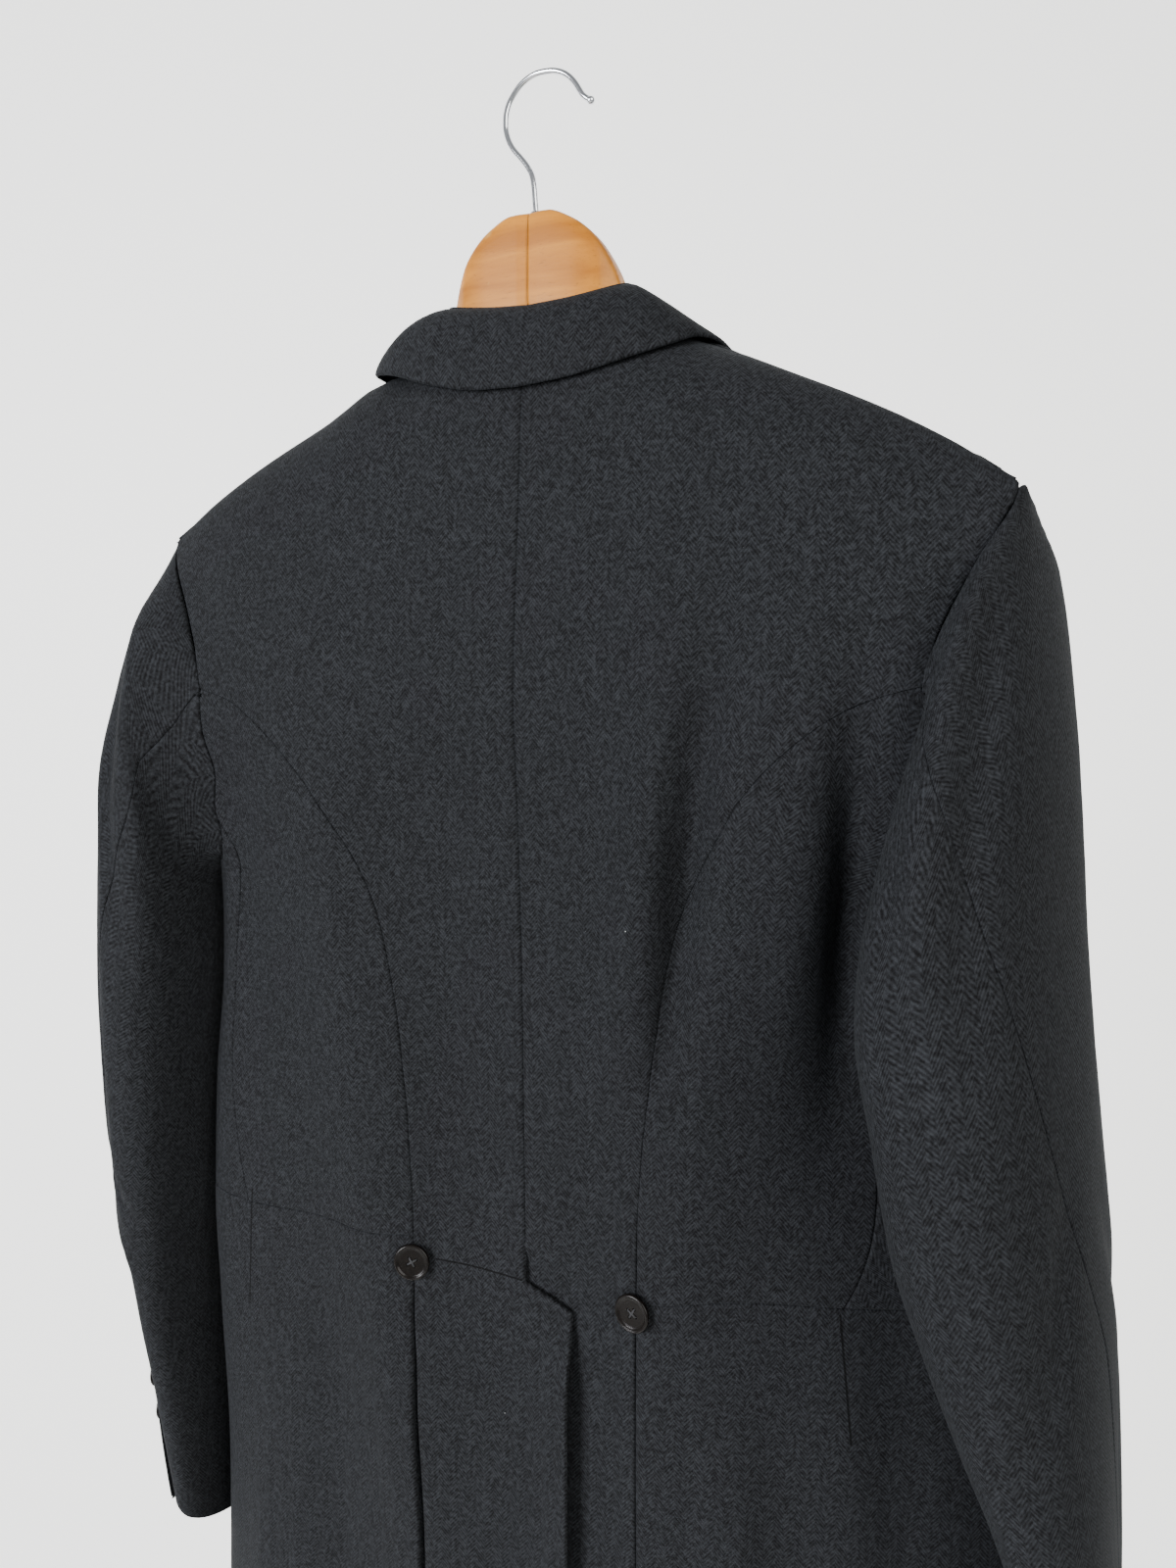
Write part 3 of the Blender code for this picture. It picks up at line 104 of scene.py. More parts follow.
# the body's surface, the same form as the frame's solids
body = {
    "columns": ("height", "left", "leftMid", "leftSquare", "right", "rightMid", "rightSquare", "back", "front"),
    "rows": (
        (0.040, 0.300, 0.050, 2.5, 0.300, 0.050, 2.5, 0.001, 0.110),
        (-0.060, 0.300, 0.050, 2.5, 0.300, 0.050, 2.5, -0.002, 0.115),
        (-0.147, 0.300, 0.050, 2.5, 0.300, 0.052, 2.5, -0.006, 0.121),
        (-0.205, 0.235, 0.050, 3.6, 0.217, 0.056, 3.2, -0.001, 0.127),
        (-0.250, 0.210, 0.052, 4.4, 0.193, 0.066, 2.8, 0.002, 0.135),
        (-0.310, 0.213, 0.054, 5.0, 0.200, 0.090, 2.3, 0.005, 0.148),
        (-0.370, 0.221, 0.056, 5.2, 0.232, 0.118, 2.1, 0.007, 0.160),
        (-0.450, 0.228, 0.060, 4.8, 0.276, 0.144, 2.1, 0.010, 0.171),
        (-0.520, 0.232, 0.068, 4.0, 0.283, 0.148, 2.1, 0.012, 0.178),
        (-0.620, 0.238, 0.080, 3.2, 0.287, 0.152, 2.1, 0.014, 0.184),
        (-0.800, 0.250, 0.090, 2.8, 0.290, 0.152, 2.1, 0.016, 0.188),
        (-0.990, 0.262, 0.098, 2.6, 0.294, 0.152, 2.1, 0.018, 0.190),
    ),
    "ridgeBack": (0.050, 0.026),  # the back rounds to the shoulder seam over this height, neck and shoulder
    "ridgeFront": (0.026, 0.050),
    "blade": {"across": 0.160, "height": -0.150, "wide": 0.095, "tall": 0.095, "rise": 0.016},
    "waist": 0.450,
    "neckHalf": 0.075,
    "shoulderHalf": 0.230,
    "pleatHalf": 0.062,
    "wall": 0.0018,
}
topSeam = {
    "columns": ("across", "depth", "height"),
    "neck": ((0.000, 0.004, 0.014), (0.030, 0.007, 0.017), (0.055, 0.019, 0.0215), (0.075, 0.040, 0.0245)),
    "rows": (
        (0.075, 0.040, 0.0245),
        (0.100, 0.033, 0.0135),
        (0.125, 0.026, 0.0010),
        (0.171, 0.019, -0.0220),
        (0.204, 0.0150, -0.0415),
        (0.219, 0.0140, -0.0520),
        (0.230, 0.0130, -0.0600),
    ),
}
# soft folds of back and skirts: where each starts and ends, its half width and how far it stands out
folds = {
    "broad": (
        (-0.112, -0.190, -0.064, -0.640, 0.034, 0.0150),
        (0.104, -0.200, 0.060, -0.640, 0.030, 0.0080),
        (0.112, -0.120, 0.076, -0.330, 0.012, -0.0060),
        (0.080, -0.160, 0.048, -0.360, 0.020, 0.0040),
        (0.166, -0.150, 0.160, -0.330, 0.011, -0.0065),
        (0.134, -0.200, 0.122, -0.380, 0.020, 0.0040),
        (-0.172, -0.140, -0.178, -0.330, 0.014, -0.0050),
        (-0.118, -0.190, -0.110, -0.350, 0.022, 0.0030),
        (-0.040, -0.230, -0.030, -0.420, 0.020, -0.0020),
        (0.138, -0.490, 0.146, -0.960, 0.016, -0.0060),
        (0.184, -0.470, 0.206, -0.960, 0.014, -0.0070),
        (0.100, -0.500, 0.098, -0.900, 0.020, 0.0040),
        (-0.120, -0.500, -0.128, -0.960, 0.020, -0.0050),
        (-0.172, -0.520, -0.196, -0.960, 0.018, 0.0050),
    ),
    "fine": (
        (0.108, -0.080, 0.0735, -0.350, 0.0082, -0.0078),
        (0.086, -0.110, 0.055, -0.310, 0.0130, 0.0040),
        (0.090, -0.170, 0.0715, -0.350, 0.0065, -0.0036),
        (0.171, -0.090, 0.152, -0.380, 0.0085, -0.0056),
        (0.150, -0.150, 0.128, -0.340, 0.0120, 0.0034),
        (-0.184, -0.170, -0.186, -0.300, 0.007, -0.0030),
        (-0.150, -0.170, -0.142, -0.330, 0.010, 0.0016),
        (-0.096, -0.210, -0.084, -0.390, 0.010, -0.0015),
        (0.036, -0.250, 0.030, -0.420, 0.010, -0.0012),
        (0.088, -0.480, 0.090, -0.700, 0.008, -0.0022),
        (0.112, -0.500, 0.118, -0.760, 0.008, 0.0020),
        (0.124, -0.500, 0.134, -0.800, 0.007, -0.0026),
        (-0.092, -0.470, -0.096, -0.760, 0.010, -0.0016),
        (-0.148, -0.470, -0.160, -0.800, 0.010, 0.0020),
    ),
}


def bodySize(side, z):
    key = "left" if side < 0 else "right"
    return {
        "half": read(body, "height", key, z),
        "mid": read(body, "height", key + "Mid", z),
        "square": read(body, "height", key + "Square", z),
        "back": read(body, "height", "back", z),
        "front": read(body, "height", "front", z),
    }


def topLine(across, side):
    across = np.abs(across)
    neck = {"columns": topSeam["columns"], "rows": topSeam["neck"]}
    atNeck = across < body["neckHalf"]
    depth = np.where(atNeck, read(neck, "across", "depth", across), read(topSeam, "across", "depth", across))
    height = np.where(atNeck, read(neck, "across", "height", across), read(topSeam, "across", "height", across))
    # the left shoulder sits higher beside the collar
    lift = 0.0 if side > 0 else 0.0050 * np.exp(-((across - 0.098) / 0.019)**2)
    return depth, height + lift


# the left tail and the left front lie over the right ones
def lapRise(side, x, z, behind):
    step = 0.0017
    tail = ease((-z - body["waist"] + 0.020) / 0.018) * ease((0.070 - x) / 0.030) * (-side)
    front = ease((-z - 0.290) / 0.040) * ease((0.070 - x) / 0.045) * (-side)
    return step * np.where(behind, tail, front)


def foldRise(x, z):
    total = np.zeros_like(x)
    for kind, start in (("broad", 0.12), ("fine", 0.01)):
        for topX, topZ, lowX, lowZ, halfWidth, rise in folds[kind]:
            run = np.clip((z - topZ) / (lowZ - topZ), 0.0, 1.0)
            aside = x - (topX + (lowX - topX) * run)
            past = np.maximum(z - topZ, 0.0) + np.maximum(lowZ - z, 0.0)
            fade = np.exp(-(past / 0.03)**2) * np.sin(math.pi * (start + (1.0 - 2 * start) * run))
            total = total + rise * fade * np.exp(-(aside / halfWidth)**2)
    return total


sleeve = {
    "columns": ("outerZ", "innerZ", "x", "y", "halfThick", "halfDeep", "yaw"),
    1: (
        (-0.062, -0.254, 0.2150, 0.0380, 0.0190, 0.0560, 12.0),
        (-0.085, -0.262, 0.2140, 0.0280, 0.0255, 0.0610, 18.0),
        (-0.122, -0.272, 0.2145, 0.0200, 0.0300, 0.0650, 20.0),
        (-0.172, -0.288, 0.2160, 0.0120, 0.0340, 0.0700, 20.0),
        (-0.232, -0.312, 0.2190, 0.0090, 0.0360, 0.0730, 19.5),
        (-0.300, -0.345, 0.2255, 0.0100, 0.0365, 0.0730, 18.0),
        (-0.362, -0.388, 0.2320, 0.0130, 0.0370, 0.0710, 16.0),
        (-0.418, -0.430, 0.2410, 0.0180, 0.0345, 0.0680, 12.0),
        (-0.458, -0.464, 0.2485, 0.0210, 0.0300, 0.0650, 9.0),
        (-0.498, -0.500, 0.2565, 0.0250, 0.0245, 0.0635, 5.0),
        (-0.540, -0.540, 0.2640, 0.0330, 0.0195, 0.0630, 4.0),
        (-0.590, -0.590, 0.2705, 0.0440, 0.0175, 0.0625, 2.0),
        (-0.650, -0.646, 0.2740, 0.0570, 0.0165, 0.0625, 2.0),
    ),
    -1: (
        (-0.062, -0.254, 0.2300, 0.0440, 0.0150, 0.0620, 2.0),
        (-0.085, -0.262, 0.2340, 0.0420, 0.0180, 0.0680, 4.0),
        (-0.122, -0.272, 0.2400, 0.0400, 0.0230, 0.0710, 6.0),
        (-0.172, -0.288, 0.2490, 0.0400, 0.0300, 0.0725, 8.0),
        (-0.232, -0.312, 0.2530, 0.0415, 0.0335, 0.0730, 10.0),
        (-0.300, -0.345, 0.2560, 0.0425, 0.0340, 0.0720, 10.0),
        (-0.362, -0.388, 0.2590, 0.0450, 0.0320, 0.0700, 10.0),
        (-0.418, -0.430, 0.2610, 0.0500, 0.0300, 0.0685, 9.0),
        (-0.458, -0.464, 0.2620, 0.0560, 0.0270, 0.0670, 8.0),
        (-0.498, -0.500, 0.2625, 0.0640, 0.0235, 0.0665, 7.0),
        (-0.540, -0.540, 0.2620, 0.0730, 0.0200, 0.0670, 5.0),
        (-0.590, -0.590, 0.2615, 0.0850, 0.0180, 0.0670, 3.0),
        (-0.656, -0.684, 0.2605, 0.0990, 0.0165, 0.0640, 0.0),
    ),
    "square": 2.25,
    "clear": 0.0045,  # room between the sleeve and the side
    "round": 0.94,
    "slope": 0.9,
}


# the hanging sleeve presses the side in
def besideSleeve(side, x, y, z):
    rows = sleeve[side]
    value = {}
    for name in sleeve["columns"][2:]:
        value[name] = read(sleeve, "innerZ", name, z, side)
    yaw = np.radians(value["yaw"])
    across = x - value["x"]
    ahead = y - value["y"]
    thick = value["halfThick"] + sleeve["clear"]
    deep = value["halfDeep"] + sleeve["clear"]
    square = sleeve["square"]
    alongThick = across * np.cos(yaw) - ahead * np.sin(yaw)
    alongDeep = np.abs(across * np.sin(yaw) + ahead * np.cos(yaw)) / deep
    room = (1 - np.minimum(alongDeep, sleeve["round"])**square)**(1 / square)
    limit = -thick * room + np.maximum(alongDeep - sleeve["round"], 0.0) * deep * sleeve["slope"]
    start = ease((rows[0][1] - z) / 0.020 + 0.2)
    end = ease((z - rows[-1][1]) / 0.030 + 1.0)
    return x - np.maximum(alongThick - limit, 0.0) / np.cos(yaw) * start * end * (x > 0.12)


def bodyPoint(side, around, z):
    around, z = np.broadcast_arrays(np.asarray(around, float), np.asarray(z, float))
    size = bodySize(side, z)
    turn = np.radians(around)
    power = 2.0 / size["square"]
    sine = np.clip(np.sin(turn), 0.0, 1.0)
    cosine = np.cos(turn)
    behind = cosine > 0
    x = size["half"] * sine**power
    reach = np.where(behind, size["mid"] - size["back"], size["front"] - size["mid"])
    y = size["mid"] - np.sign(cosine) * reach * np.abs(cosine)**power
    hump = body["blade"]
    blade = hump["rise"] * np.exp(-((x - hump["across"]) / hump["wide"])**2
                                  - ((z - hump["height"]) / hump["tall"])**2)
    off = np.where(behind, blade + foldRise(side * x, z), 0.0) + lapRise(side, x, z, behind)
    depth, height = topLine(x, side)  # near the top the surface rounds over to the shoulder seam
    drop = np.maximum(height - z, 0.0)
    share = np.clip((x - body["neckHalf"]) / (body["shoulderHalf"] - body["neckHalf"]), 0.0, 1.0)
    ridges = (body["ridgeBack"], body["ridgeFront"])
    ridge = np.where(behind, *[one[0] + (one[1] - one[0]) * share for one in ridges])
    leftOver = np.clip(1.0 - drop / ridge, 0.0, 1.0)
    pull = 1.0 - np.sqrt(np.clip(1.0 - leftOver**2, 0.0, 1.0))
    x = x + off * sine**2 * (1 - pull)
    y = (y - off * cosine) * (1 - pull) + depth * pull
    x = besideSleeve(side, x, y, z)
    return np.stack([side * x, y, z], axis=-1)


def bodyNormal(side, around, z):
    around, z = np.broadcast_arrays(np.asarray(around, float), np.asarray(z, float))
    turned = bodyPoint(side, around + 0.4, z) - bodyPoint(side, around - 0.4, z)
    raised = bodyPoint(side, around, z + 0.0004) - bodyPoint(side, around, z - 0.0004)
    normal = np.cross(turned, raised)
    normal = normal / np.linalg.norm(normal, axis=-1, keepdims=True)
    turn = np.radians(around)
    outwards = np.stack([side * np.sin(turn), -np.cos(turn), np.full(turn.shape, 0.4)], axis=-1)
    return normal * np.sign(np.sum(normal * outwards, axis=-1, keepdims=True))


def aroundAt(side, x, z, front=False):
    size = bodySize(side, z)
    sine = np.clip(np.abs(x) / size["half"], 0.0, 1.0)**(size["square"] / 2.0)
    angle = np.degrees(np.arcsin(sine))
    return np.where(front, 180.0 - angle, angle)


# seams and edges that the pieces share, all in metres and degrees

backSeam = {
    "columns": ("height", "across"),
    "rows": (
        (-0.1470, 0.1910),
        (-0.1490, 0.1830),
        (-0.1560, 0.1640),
        (-0.1680, 0.1460),
        (-0.1840, 0.1280),
        (-0.2100, 0.1080),
        (-0.2340, 0.0930),
        (-0.2600, 0.0820),
        (-0.3020, 0.0735),
        (-0.3500, 0.0675),
        (-0.4040, 0.0630),
        (-0.4500, 0.0620),
        (-0.9900, 0.0620),
    ),
}

armholeEdge = {
    "rear": (
        (0.0, 0.2300, -0.0600),
        (18.0, 0.2230, -0.0760),
        (40.0, 0.2060, -0.1060),
        (66.0, 0.1910, -0.1470),
        (90.0, 0.1890, -0.1850),
        (112.0, 0.1930, -0.2130),
    ),
    "under": (
        (135.0, 54.0, -0.2340),
        (158.0, 68.0, -0.2470),
        (180.0, 86.0, -0.2500),
        (200.0, 104.0, -0.2470),
        (222.0, 119.0, -0.2330),
    ),
    "front": (
        (248.0, 0.1880, -0.2020),
        (274.0, 0.1840, -0.1600),
        (305.0, 0.1930, -0.1100),
        (335.0, 0.2130, -0.0740),
        (360.0, 0.2300, -0.0600),
    ),
    "underStart": -0.2150,
    "underSpread": 0.00035,
    "sideTurn": 122.0,  # the side seam meets the armhole at this turn
}

rollLine = {
    "columns": ("height", "across"),
    "rows": (
        (0.0245, 0.0750),
        (-0.060, 0.0640),
        (-0.180, 0.0440),
        (-0.300, 0.0180),
        (-0.385, -0.0100),
        (-0.425, -0.0160),
        (-0.450, -0.0060),
    ),
}

cutaway = {
    "columns": ("height", "around"),
    "rows": (
        (-0.450, 177.0),
        (-0.480, 169.0),
        (-0.540, 156.0),
        (-0.640, 141.0),
        (-0.760, 125.0),
        (-0.880, 112.0),
        (-0.955, 102.0),
        (-0.985, 93.0),
    ),
}

waistSeam = {
    "columns": ("across", "height"),
    1: ((0.062, -0.4510), (0.085, -0.4470), (0.110, -0.4440), (0.150, -0.4430)),
    -1: ((0.062, -0.4370), (0.107, -0.4395), (0.142, -0.4425), (0.180, -0.4455)),
}

sideWaist = {-1: 0.184, 1: 0.156}
sideBow = 6.0  # the side seam bows forwards by this many degrees between armhole and waist

turns = {
    "back": (0.0, 1.5, 9.0, 22.0, 38.0, 52.0, 66.0),
    "side": (66.0, 77.0, 92.0, 107.0, 122.0),
    "front": (360.0, 358.5, 346.0, 330.0, 312.0, 294.0, 278.0, 262.0, 247.0, 232.0, 214.0, 196.0,
              178.0, 160.0, 141.0, 122.0),
    "under": (66.0, 77.0, 92.0, 107.0, 122.0, 141.0, 160.0, 178.0, 196.0, 214.0, 232.0),
    "top": (232.0, 247.0, 262.0, 278.0, 294.0, 312.0, 330.0, 346.0, 360.0, 369.0, 382.0,
            398.0, 412.0, 426.0),
}
levels = {
    "junction": -0.147,  # where the curved back seam meets the armhole
    "seam": (-0.1470, -0.1486, -0.1540, -0.1660, -0.1840, -0.2090, -0.2380, -0.2700, -0.3050, -0.3400,
             -0.3760, -0.4100),
    "vent": (-0.4525, -0.4640),  # the vent's slanting top
    "tail": (-0.500, -0.560, -0.640, -0.730, -0.820, -0.905, -0.985),
}

elbowLine = {
    "columns": ("along", "turn"),
    1: ((0.0, 66.0), (0.05, 70.0), (0.13, 76.0), (0.215, 66.0), (0.315, 47.5), (0.40, 30.0),
        (0.47, 19.0), (0.545, 8.0), (0.62, 0.0), (1.0, -4.0)),
    -1: ((0.0, 66.0), (0.048, 92.0), (0.13, 101.0), (0.215, 97.0), (0.29, 88.5), (0.34, 80.0),
         (0.50, 58.0), (0.75, 50.0), (0.88, 60.0), (1.0, 66.0)),
}

forearmLine = {
    "columns": ("along", "turn"),
    "rows": ((0.0, 232.0), (0.5, 236.0), (1.0, 240.0)),
}

collar = {
    "columns": ("along", "foldX", "foldY", "foldZ", "edgeX", "edgeY", "edgeZ", "roll", "slope"),
    1: (
        (0.00, 0.0000, 0.0080, 0.0415, 0.0000, -0.0035, 0.0000, 3.0, 1.5),
        (0.16, 0.0200, 0.0085, 0.0425, 0.0240, -0.0030, 0.0020, 2.9, 1.5),
        (0.32, 0.0385, 0.0110, 0.0450, 0.0500, 0.0005, 0.0075, 2.4, 1.4),
        (0.45, 0.0515, 0.0190, 0.0480, 0.0760, 0.0125, 0.0165, 1.6, 1.2),
        (0.52, 0.0535, 0.0290, 0.0470, 0.0850, 0.0240, 0.0215, 1.3, 1.1),
        (0.58, 0.0550, 0.0390, 0.0450, 0.0905, 0.0380, 0.0225, 1.1, 1.0),
        (0.72, 0.0570, 0.0640, 0.0400, 0.0915, 0.0720, 0.0190, 1.1, 1.1),
        (0.86, 0.0635, 0.0890, 0.0310, 0.0925, 0.1010, 0.0100, 1.3, 1.3),
        (1.00, 0.0700, 0.1110, 0.0170, 0.0930, 0.1200, -0.0220, 2.0, 1.4),
    ),
    -1: (
        (0.00, 0.0000, 0.0080, 0.0415, 0.0000, -0.0035, 0.0000, 3.0, 1.5),
        (0.16, 0.0200, 0.0085, 0.0430, 0.0240, -0.0030, 0.0010, 2.9, 1.5),
        (0.32, 0.0385, 0.0100, 0.0455, 0.0520, -0.0010, 0.0070, 2.4, 1.5),
        (0.45, 0.0510, 0.0150, 0.0480, 0.0800, 0.0060, 0.0165, 2.2, 1.5),
        (0.58, 0.0560, 0.0330, 0.0480, 0.1000, 0.0250, 0.0215, 1.5, 1.2),
        (0.72, 0.0580, 0.0600, 0.0420, 0.1000, 0.0650, 0.0155, 1.4, 1.2),
        (0.86, 0.0640, 0.0870, 0.0310, 0.0980, 0.1030, 0.0070, 1.6, 1.3),
        (1.00, 0.0700, 0.1110, 0.0170, 0.0930, 0.1200, -0.0220, 2.0, 1.4),
    ),
}

lapel = {
    "columns": ("along", "rollZ", "edgeX", "edgeZ"),
    "rows": (
        (0.00, -0.010, 0.142, -0.044),
        (0.10, -0.045, 0.137, -0.082),
        (0.30, -0.120, 0.122, -0.156),
        (0.55, -0.220, 0.098, -0.240),
        (0.80, -0.320, 0.056, -0.325),
        (1.00, -0.392, 0.004, -0.396),
    ),
    "dip": 0.022,  # its top edge dips between the collar and the peak
    "out": 0.0031,
}

arm = {
    "columns": ("across", "top", "bottom", "depth"),
    "rows": (
        (0.00015, 0.0895, 0.0350, 0.0185),
        (0.0100, 0.0893, 0.0335, 0.0185),
        (0.0230, 0.0838, 0.0310, 0.0190),
        (0.0365, 0.0720, 0.0270, 0.0215),
        (0.0455, 0.0540, 0.0200, 0.0270),
        (0.0490, 0.0380, 0.0140, 0.0290),
        (0.0530, 0.0225, 0.0080, 0.0300),
        (0.0600, 0.0150, 0.0020, 0.0305),
        (0.0850, 0.0085, -0.0070, 0.0300),
        (0.1100, -0.0020, -0.0180, 0.0285),
        (0.1500, -0.0185, -0.0370, 0.0260),
        (0.1850, -0.0380, -0.0570, 0.0235),
        (0.2060, -0.0505, -0.0690, 0.0215),
    ),
    "thick": 0.012,
    "side": -0.0033,
}

wire = {
    "rows": (
        (0.0000, 0.0680),
        (0.0000, 0.0900),
        (-0.0004, 0.0940),
        (-0.0011, 0.1023),
        (-0.0022, 0.1082),
        (-0.0050, 0.1134),
        (-0.0089, 0.1184),
        (-0.0128, 0.1229),
        (-0.0158, 0.1283),
        (-0.0173, 0.1343),
        (-0.0173, 0.1390),
        (-0.0159, 0.1449),
        (-0.0129, 0.1495),
        (-0.0091, 0.1535),
        (-0.0042, 0.1562),
        (0.0013, 0.1574),
        (0.0077, 0.1570),
        (0.0126, 0.1555),
        (0.0166, 0.1532),
        (0.0205, 0.1492),
        (0.0232, 0.1451),
        (0.0253, 0.1417),
        (0.0295, 0.1385),
    ),
    "depth": 0.0185,
    "side": -0.0013,
    "thick": 0.0028,
}


def armhole(side, turn):
    marks = []
    angles = []
    heights = []
    for mark, across, height in armholeEdge["rear"]:
        marks.append(mark)
        angles.append(float(aroundAt(side, across, height)))
        heights.append(height)
    for mark, around, height in armholeEdge["under"]:
        marks.append(mark)
        angles.append(around)
        heights.append(height)
    for mark, across, height in armholeEdge["front"]:
        marks.append(mark)
        angles.append(float(aroundAt(side, across, height, front=True)))
        heights.append(height)
    return smoothCurve(marks, angles, turn), smoothCurve(marks, heights, turn)


def waistAt(side, around):
    across = np.abs(bodyPoint(side, around, -body["waist"])[..., 0])
    across = np.where(np.asarray(around) > 90.0, body["shoulderHalf"], across)
    return read(waistSeam, "across", "height", across, side)


def pleatLevel(side):
    return float(waistAt(side, float(aroundAt(side, body["pleatHalf"], -body["waist"]))))


def sideAround(side, z):
    topAround, topZ = armhole(side, armholeEdge["sideTurn"])
    lowAround = aroundAt(side, sideWaist[side], -body["waist"])
    share = np.clip((z - topZ) / (-body["waist"] - topZ), 0.0, 1.0)
    return topAround + (lowAround - topAround) * share + sideBow * np.sin(math.pi * share)


def sideLevels(side):
    _, top = armhole(side, armholeEdge["sideTurn"])
    low = float(waistAt(side, aroundAt(side, sideWaist[side], -body["waist"])))
    count = len(levels["seam"]) + 1 - len(turns["side"])
    return [float(top + (low - top) * (row + 1) / count) for row in range(count)]


# nets: rows and columns of turn round the section, height, and how far past the centre
def onX(side, x, z, front=False):
    x, z = np.broadcast_arrays(np.asarray(x, float), np.asarray(z, float))
    return np.stack([aroundAt(side, np.maximum(x, 0.0), z, front), z, side * np.minimum(x, 0.0)], axis=-1)


def onTurn(around, z):
    around, z = np.broadcast_arrays(np.asarray(around, float), np.asarray(z, float))
    return np.stack([around, z, np.zeros(around.shape)], axis=-1)


# the slit of a pleat: the left one stands open, more so lower down
def pleatGap(side, z):
    low = float(ease((-z - body["waist"]) / 0.12))
    return (0.0012 + 0.0030 * low) if side < 0 else 0.0010


def backNet(side):
    share = steps(0.0, 1.0, 10)
    net = []
    for turn in turns["back"][:-1]:
        edgeAround, edgeZ = armhole(side, turn)
        edgeX = abs(bodyPoint(side, edgeAround, edgeZ)[0])
        _, top = topLine(share * body["shoulderHalf"], side)
        z = top + (levels["junction"] - top) * (edgeZ - top[-1]) / (levels["junction"] - top[-1])
        around = aroundAt(side, share * edgeX, z)
        around[-1] = edgeAround
        z[-1] = edgeZ
        net.append(onTurn(around, z))
    for z in levels["seam"]:
        net.append(onX(side, share * read(backSeam, "height", "across", z), z))
    lap = 0.027 if side < 0 else 0.022  # the left tail laps over the right one
    under = -0.010 if side > 0 else 0.0
    net.append(onX(side, share * read(backSeam, "height", "across", -0.4315), -0.4315))
    net.append(onX(side, under + share * (body["pleatHalf"] - under), pleatLevel(side)))
    for z in levels["vent"] + levels["tail"]:
        below = z < levels["vent"][0]
        inner = -lap if below else under
        corner = body["pleatHalf"] - (1.0 if below else 0.25) * pleatGap(side, z) / 2
        net.append(onX(side, inner + (corner - inner) * share, z))
    return np.array(net)


def sideBodyNet(side):
    net = []
    share = steps(0.0, 1.0, 6)
    rows = levels["seam"] + (pleatLevel(side),)
    for row, seamZ in enumerate(rows):
        if row < len(turns["side"]):
            edgeAround, edgeZ = armhole(side, turns["side"][row])
        else:
            edgeZ = sideLevels(side)[row - len(turns["side"])]
            edgeAround = sideAround(side, edgeZ)
        z = seamZ + (edgeZ - seamZ) * share
        inner = aroundAt(side, read(backSeam, "height", "across", seamZ), seamZ)
        around = inner + (edgeAround - inner) * share
        if row == 0:
            lowAround, lowZ = armhole(side, turns["side"][0] + 2.0)
            around = edgeAround + (lowAround - edgeAround) * share
            z = edgeZ + (lowZ - edgeZ) * share
        if row == len(rows) - 1:
            z = waistAt(side, around)
        net.append(onTurn(around, z))
    return np.array(net)


def frontRow(side, innerZ, edgeAround, edgeZ, share, first=False, last=False):
    across = float(read(rollLine, "height", "across", innerZ))
    if first:
        x = across + (body["shoulderHalf"] - across) * share
        _, z = topLine(x, side)
        return onTurn(aroundAt(side, x, z, front=True), z)
    edgeX = abs(bodyPoint(side, edgeAround, edgeZ)[0])
    _, top = topLine(body["neckHalf"] + (body["shoulderHalf"] - body["neckHalf"]) * share, side)
    sag = top - (top[0] + (top[-1] - top[0]) * share)
    z = innerZ + (edgeZ - innerZ) * share + sag * (1 - ease((top[-1] - edgeZ) / 0.10))
    inner = 180.0 - float(aroundAt(side, max(across, 0.0), innerZ))
    byTurn = inner + (edgeAround - inner) * share
    byX = aroundAt(side, np.maximum(across + (edgeX - across) * share, 0.0), z, front=True)
    mix = float(ease((edgeAround - 112.0) / 12.0))
    around = byX * mix + byTurn * (1 - mix)
    around[-1] = edgeAround
    # rows that end under the armhole keep below its edge
    angles, heights = armhole(side, steps(armholeEdge["sideTurn"], 250.0, 30))
    limit = np.where(around > angles[-1], heights[-1], np.interp(around, angles, heights))
    limit = limit - armholeEdge["underSpread"] * (around - edgeAround)
    if edgeZ < armholeEdge["underStart"]:
        z = np.where(around > edgeAround, np.minimum(z, limit), z)
    row = onTurn(around, waistAt(side, around) if last else z)
    row[:, 2] = side * min(across, 0.0) * (1 - share)**2
    return row


def forepartNet(side):
    net = []
    share = steps(0.0, 1.0, 11)
    for number, turn in enumerate(turns["front"]):
        edgeAround, edgeZ = armhole(side, turn)
        innerZ = float(smoothCurve((122.0, 196.0, 360.0), (-0.312, -0.262, 0.0245), turn))
        net.append(frontRow(side, innerZ, float(edgeAround), float(edgeZ), share, number == 0))
    heights = sideLevels(side)
    for number, edgeZ in enumerate(heights):
        innerZ = -0.312 + (-body["waist"] + 0.312) * (number + 1) / len(heights)
        last = number == len(heights) - 1
        net.append(frontRow(side, innerZ, float(sideAround(side, edgeZ)), edgeZ, share, last=last))
    return np.array(net)


def skirtNet(side):
    net = []
    spread = steps(0.0, 1.0, 14)**1.5
    for z in (pleatLevel(side),) + levels["vent"] + levels["tail"]:
        outer = float(read(cutaway, "height", "around", z))
        below = z < levels["vent"][0]
        corner = body["pleatHalf"] + (1.0 if below else 0.25) * pleatGap(side, z) / 2
        inner = float(aroundAt(side, corner, z))
        around = inner + (outer - inner) * spread
        if z > levels["vent"][0]:
            z = waistAt(side, around)
        net.append(onTurn(around, z))
    return np.array(net)


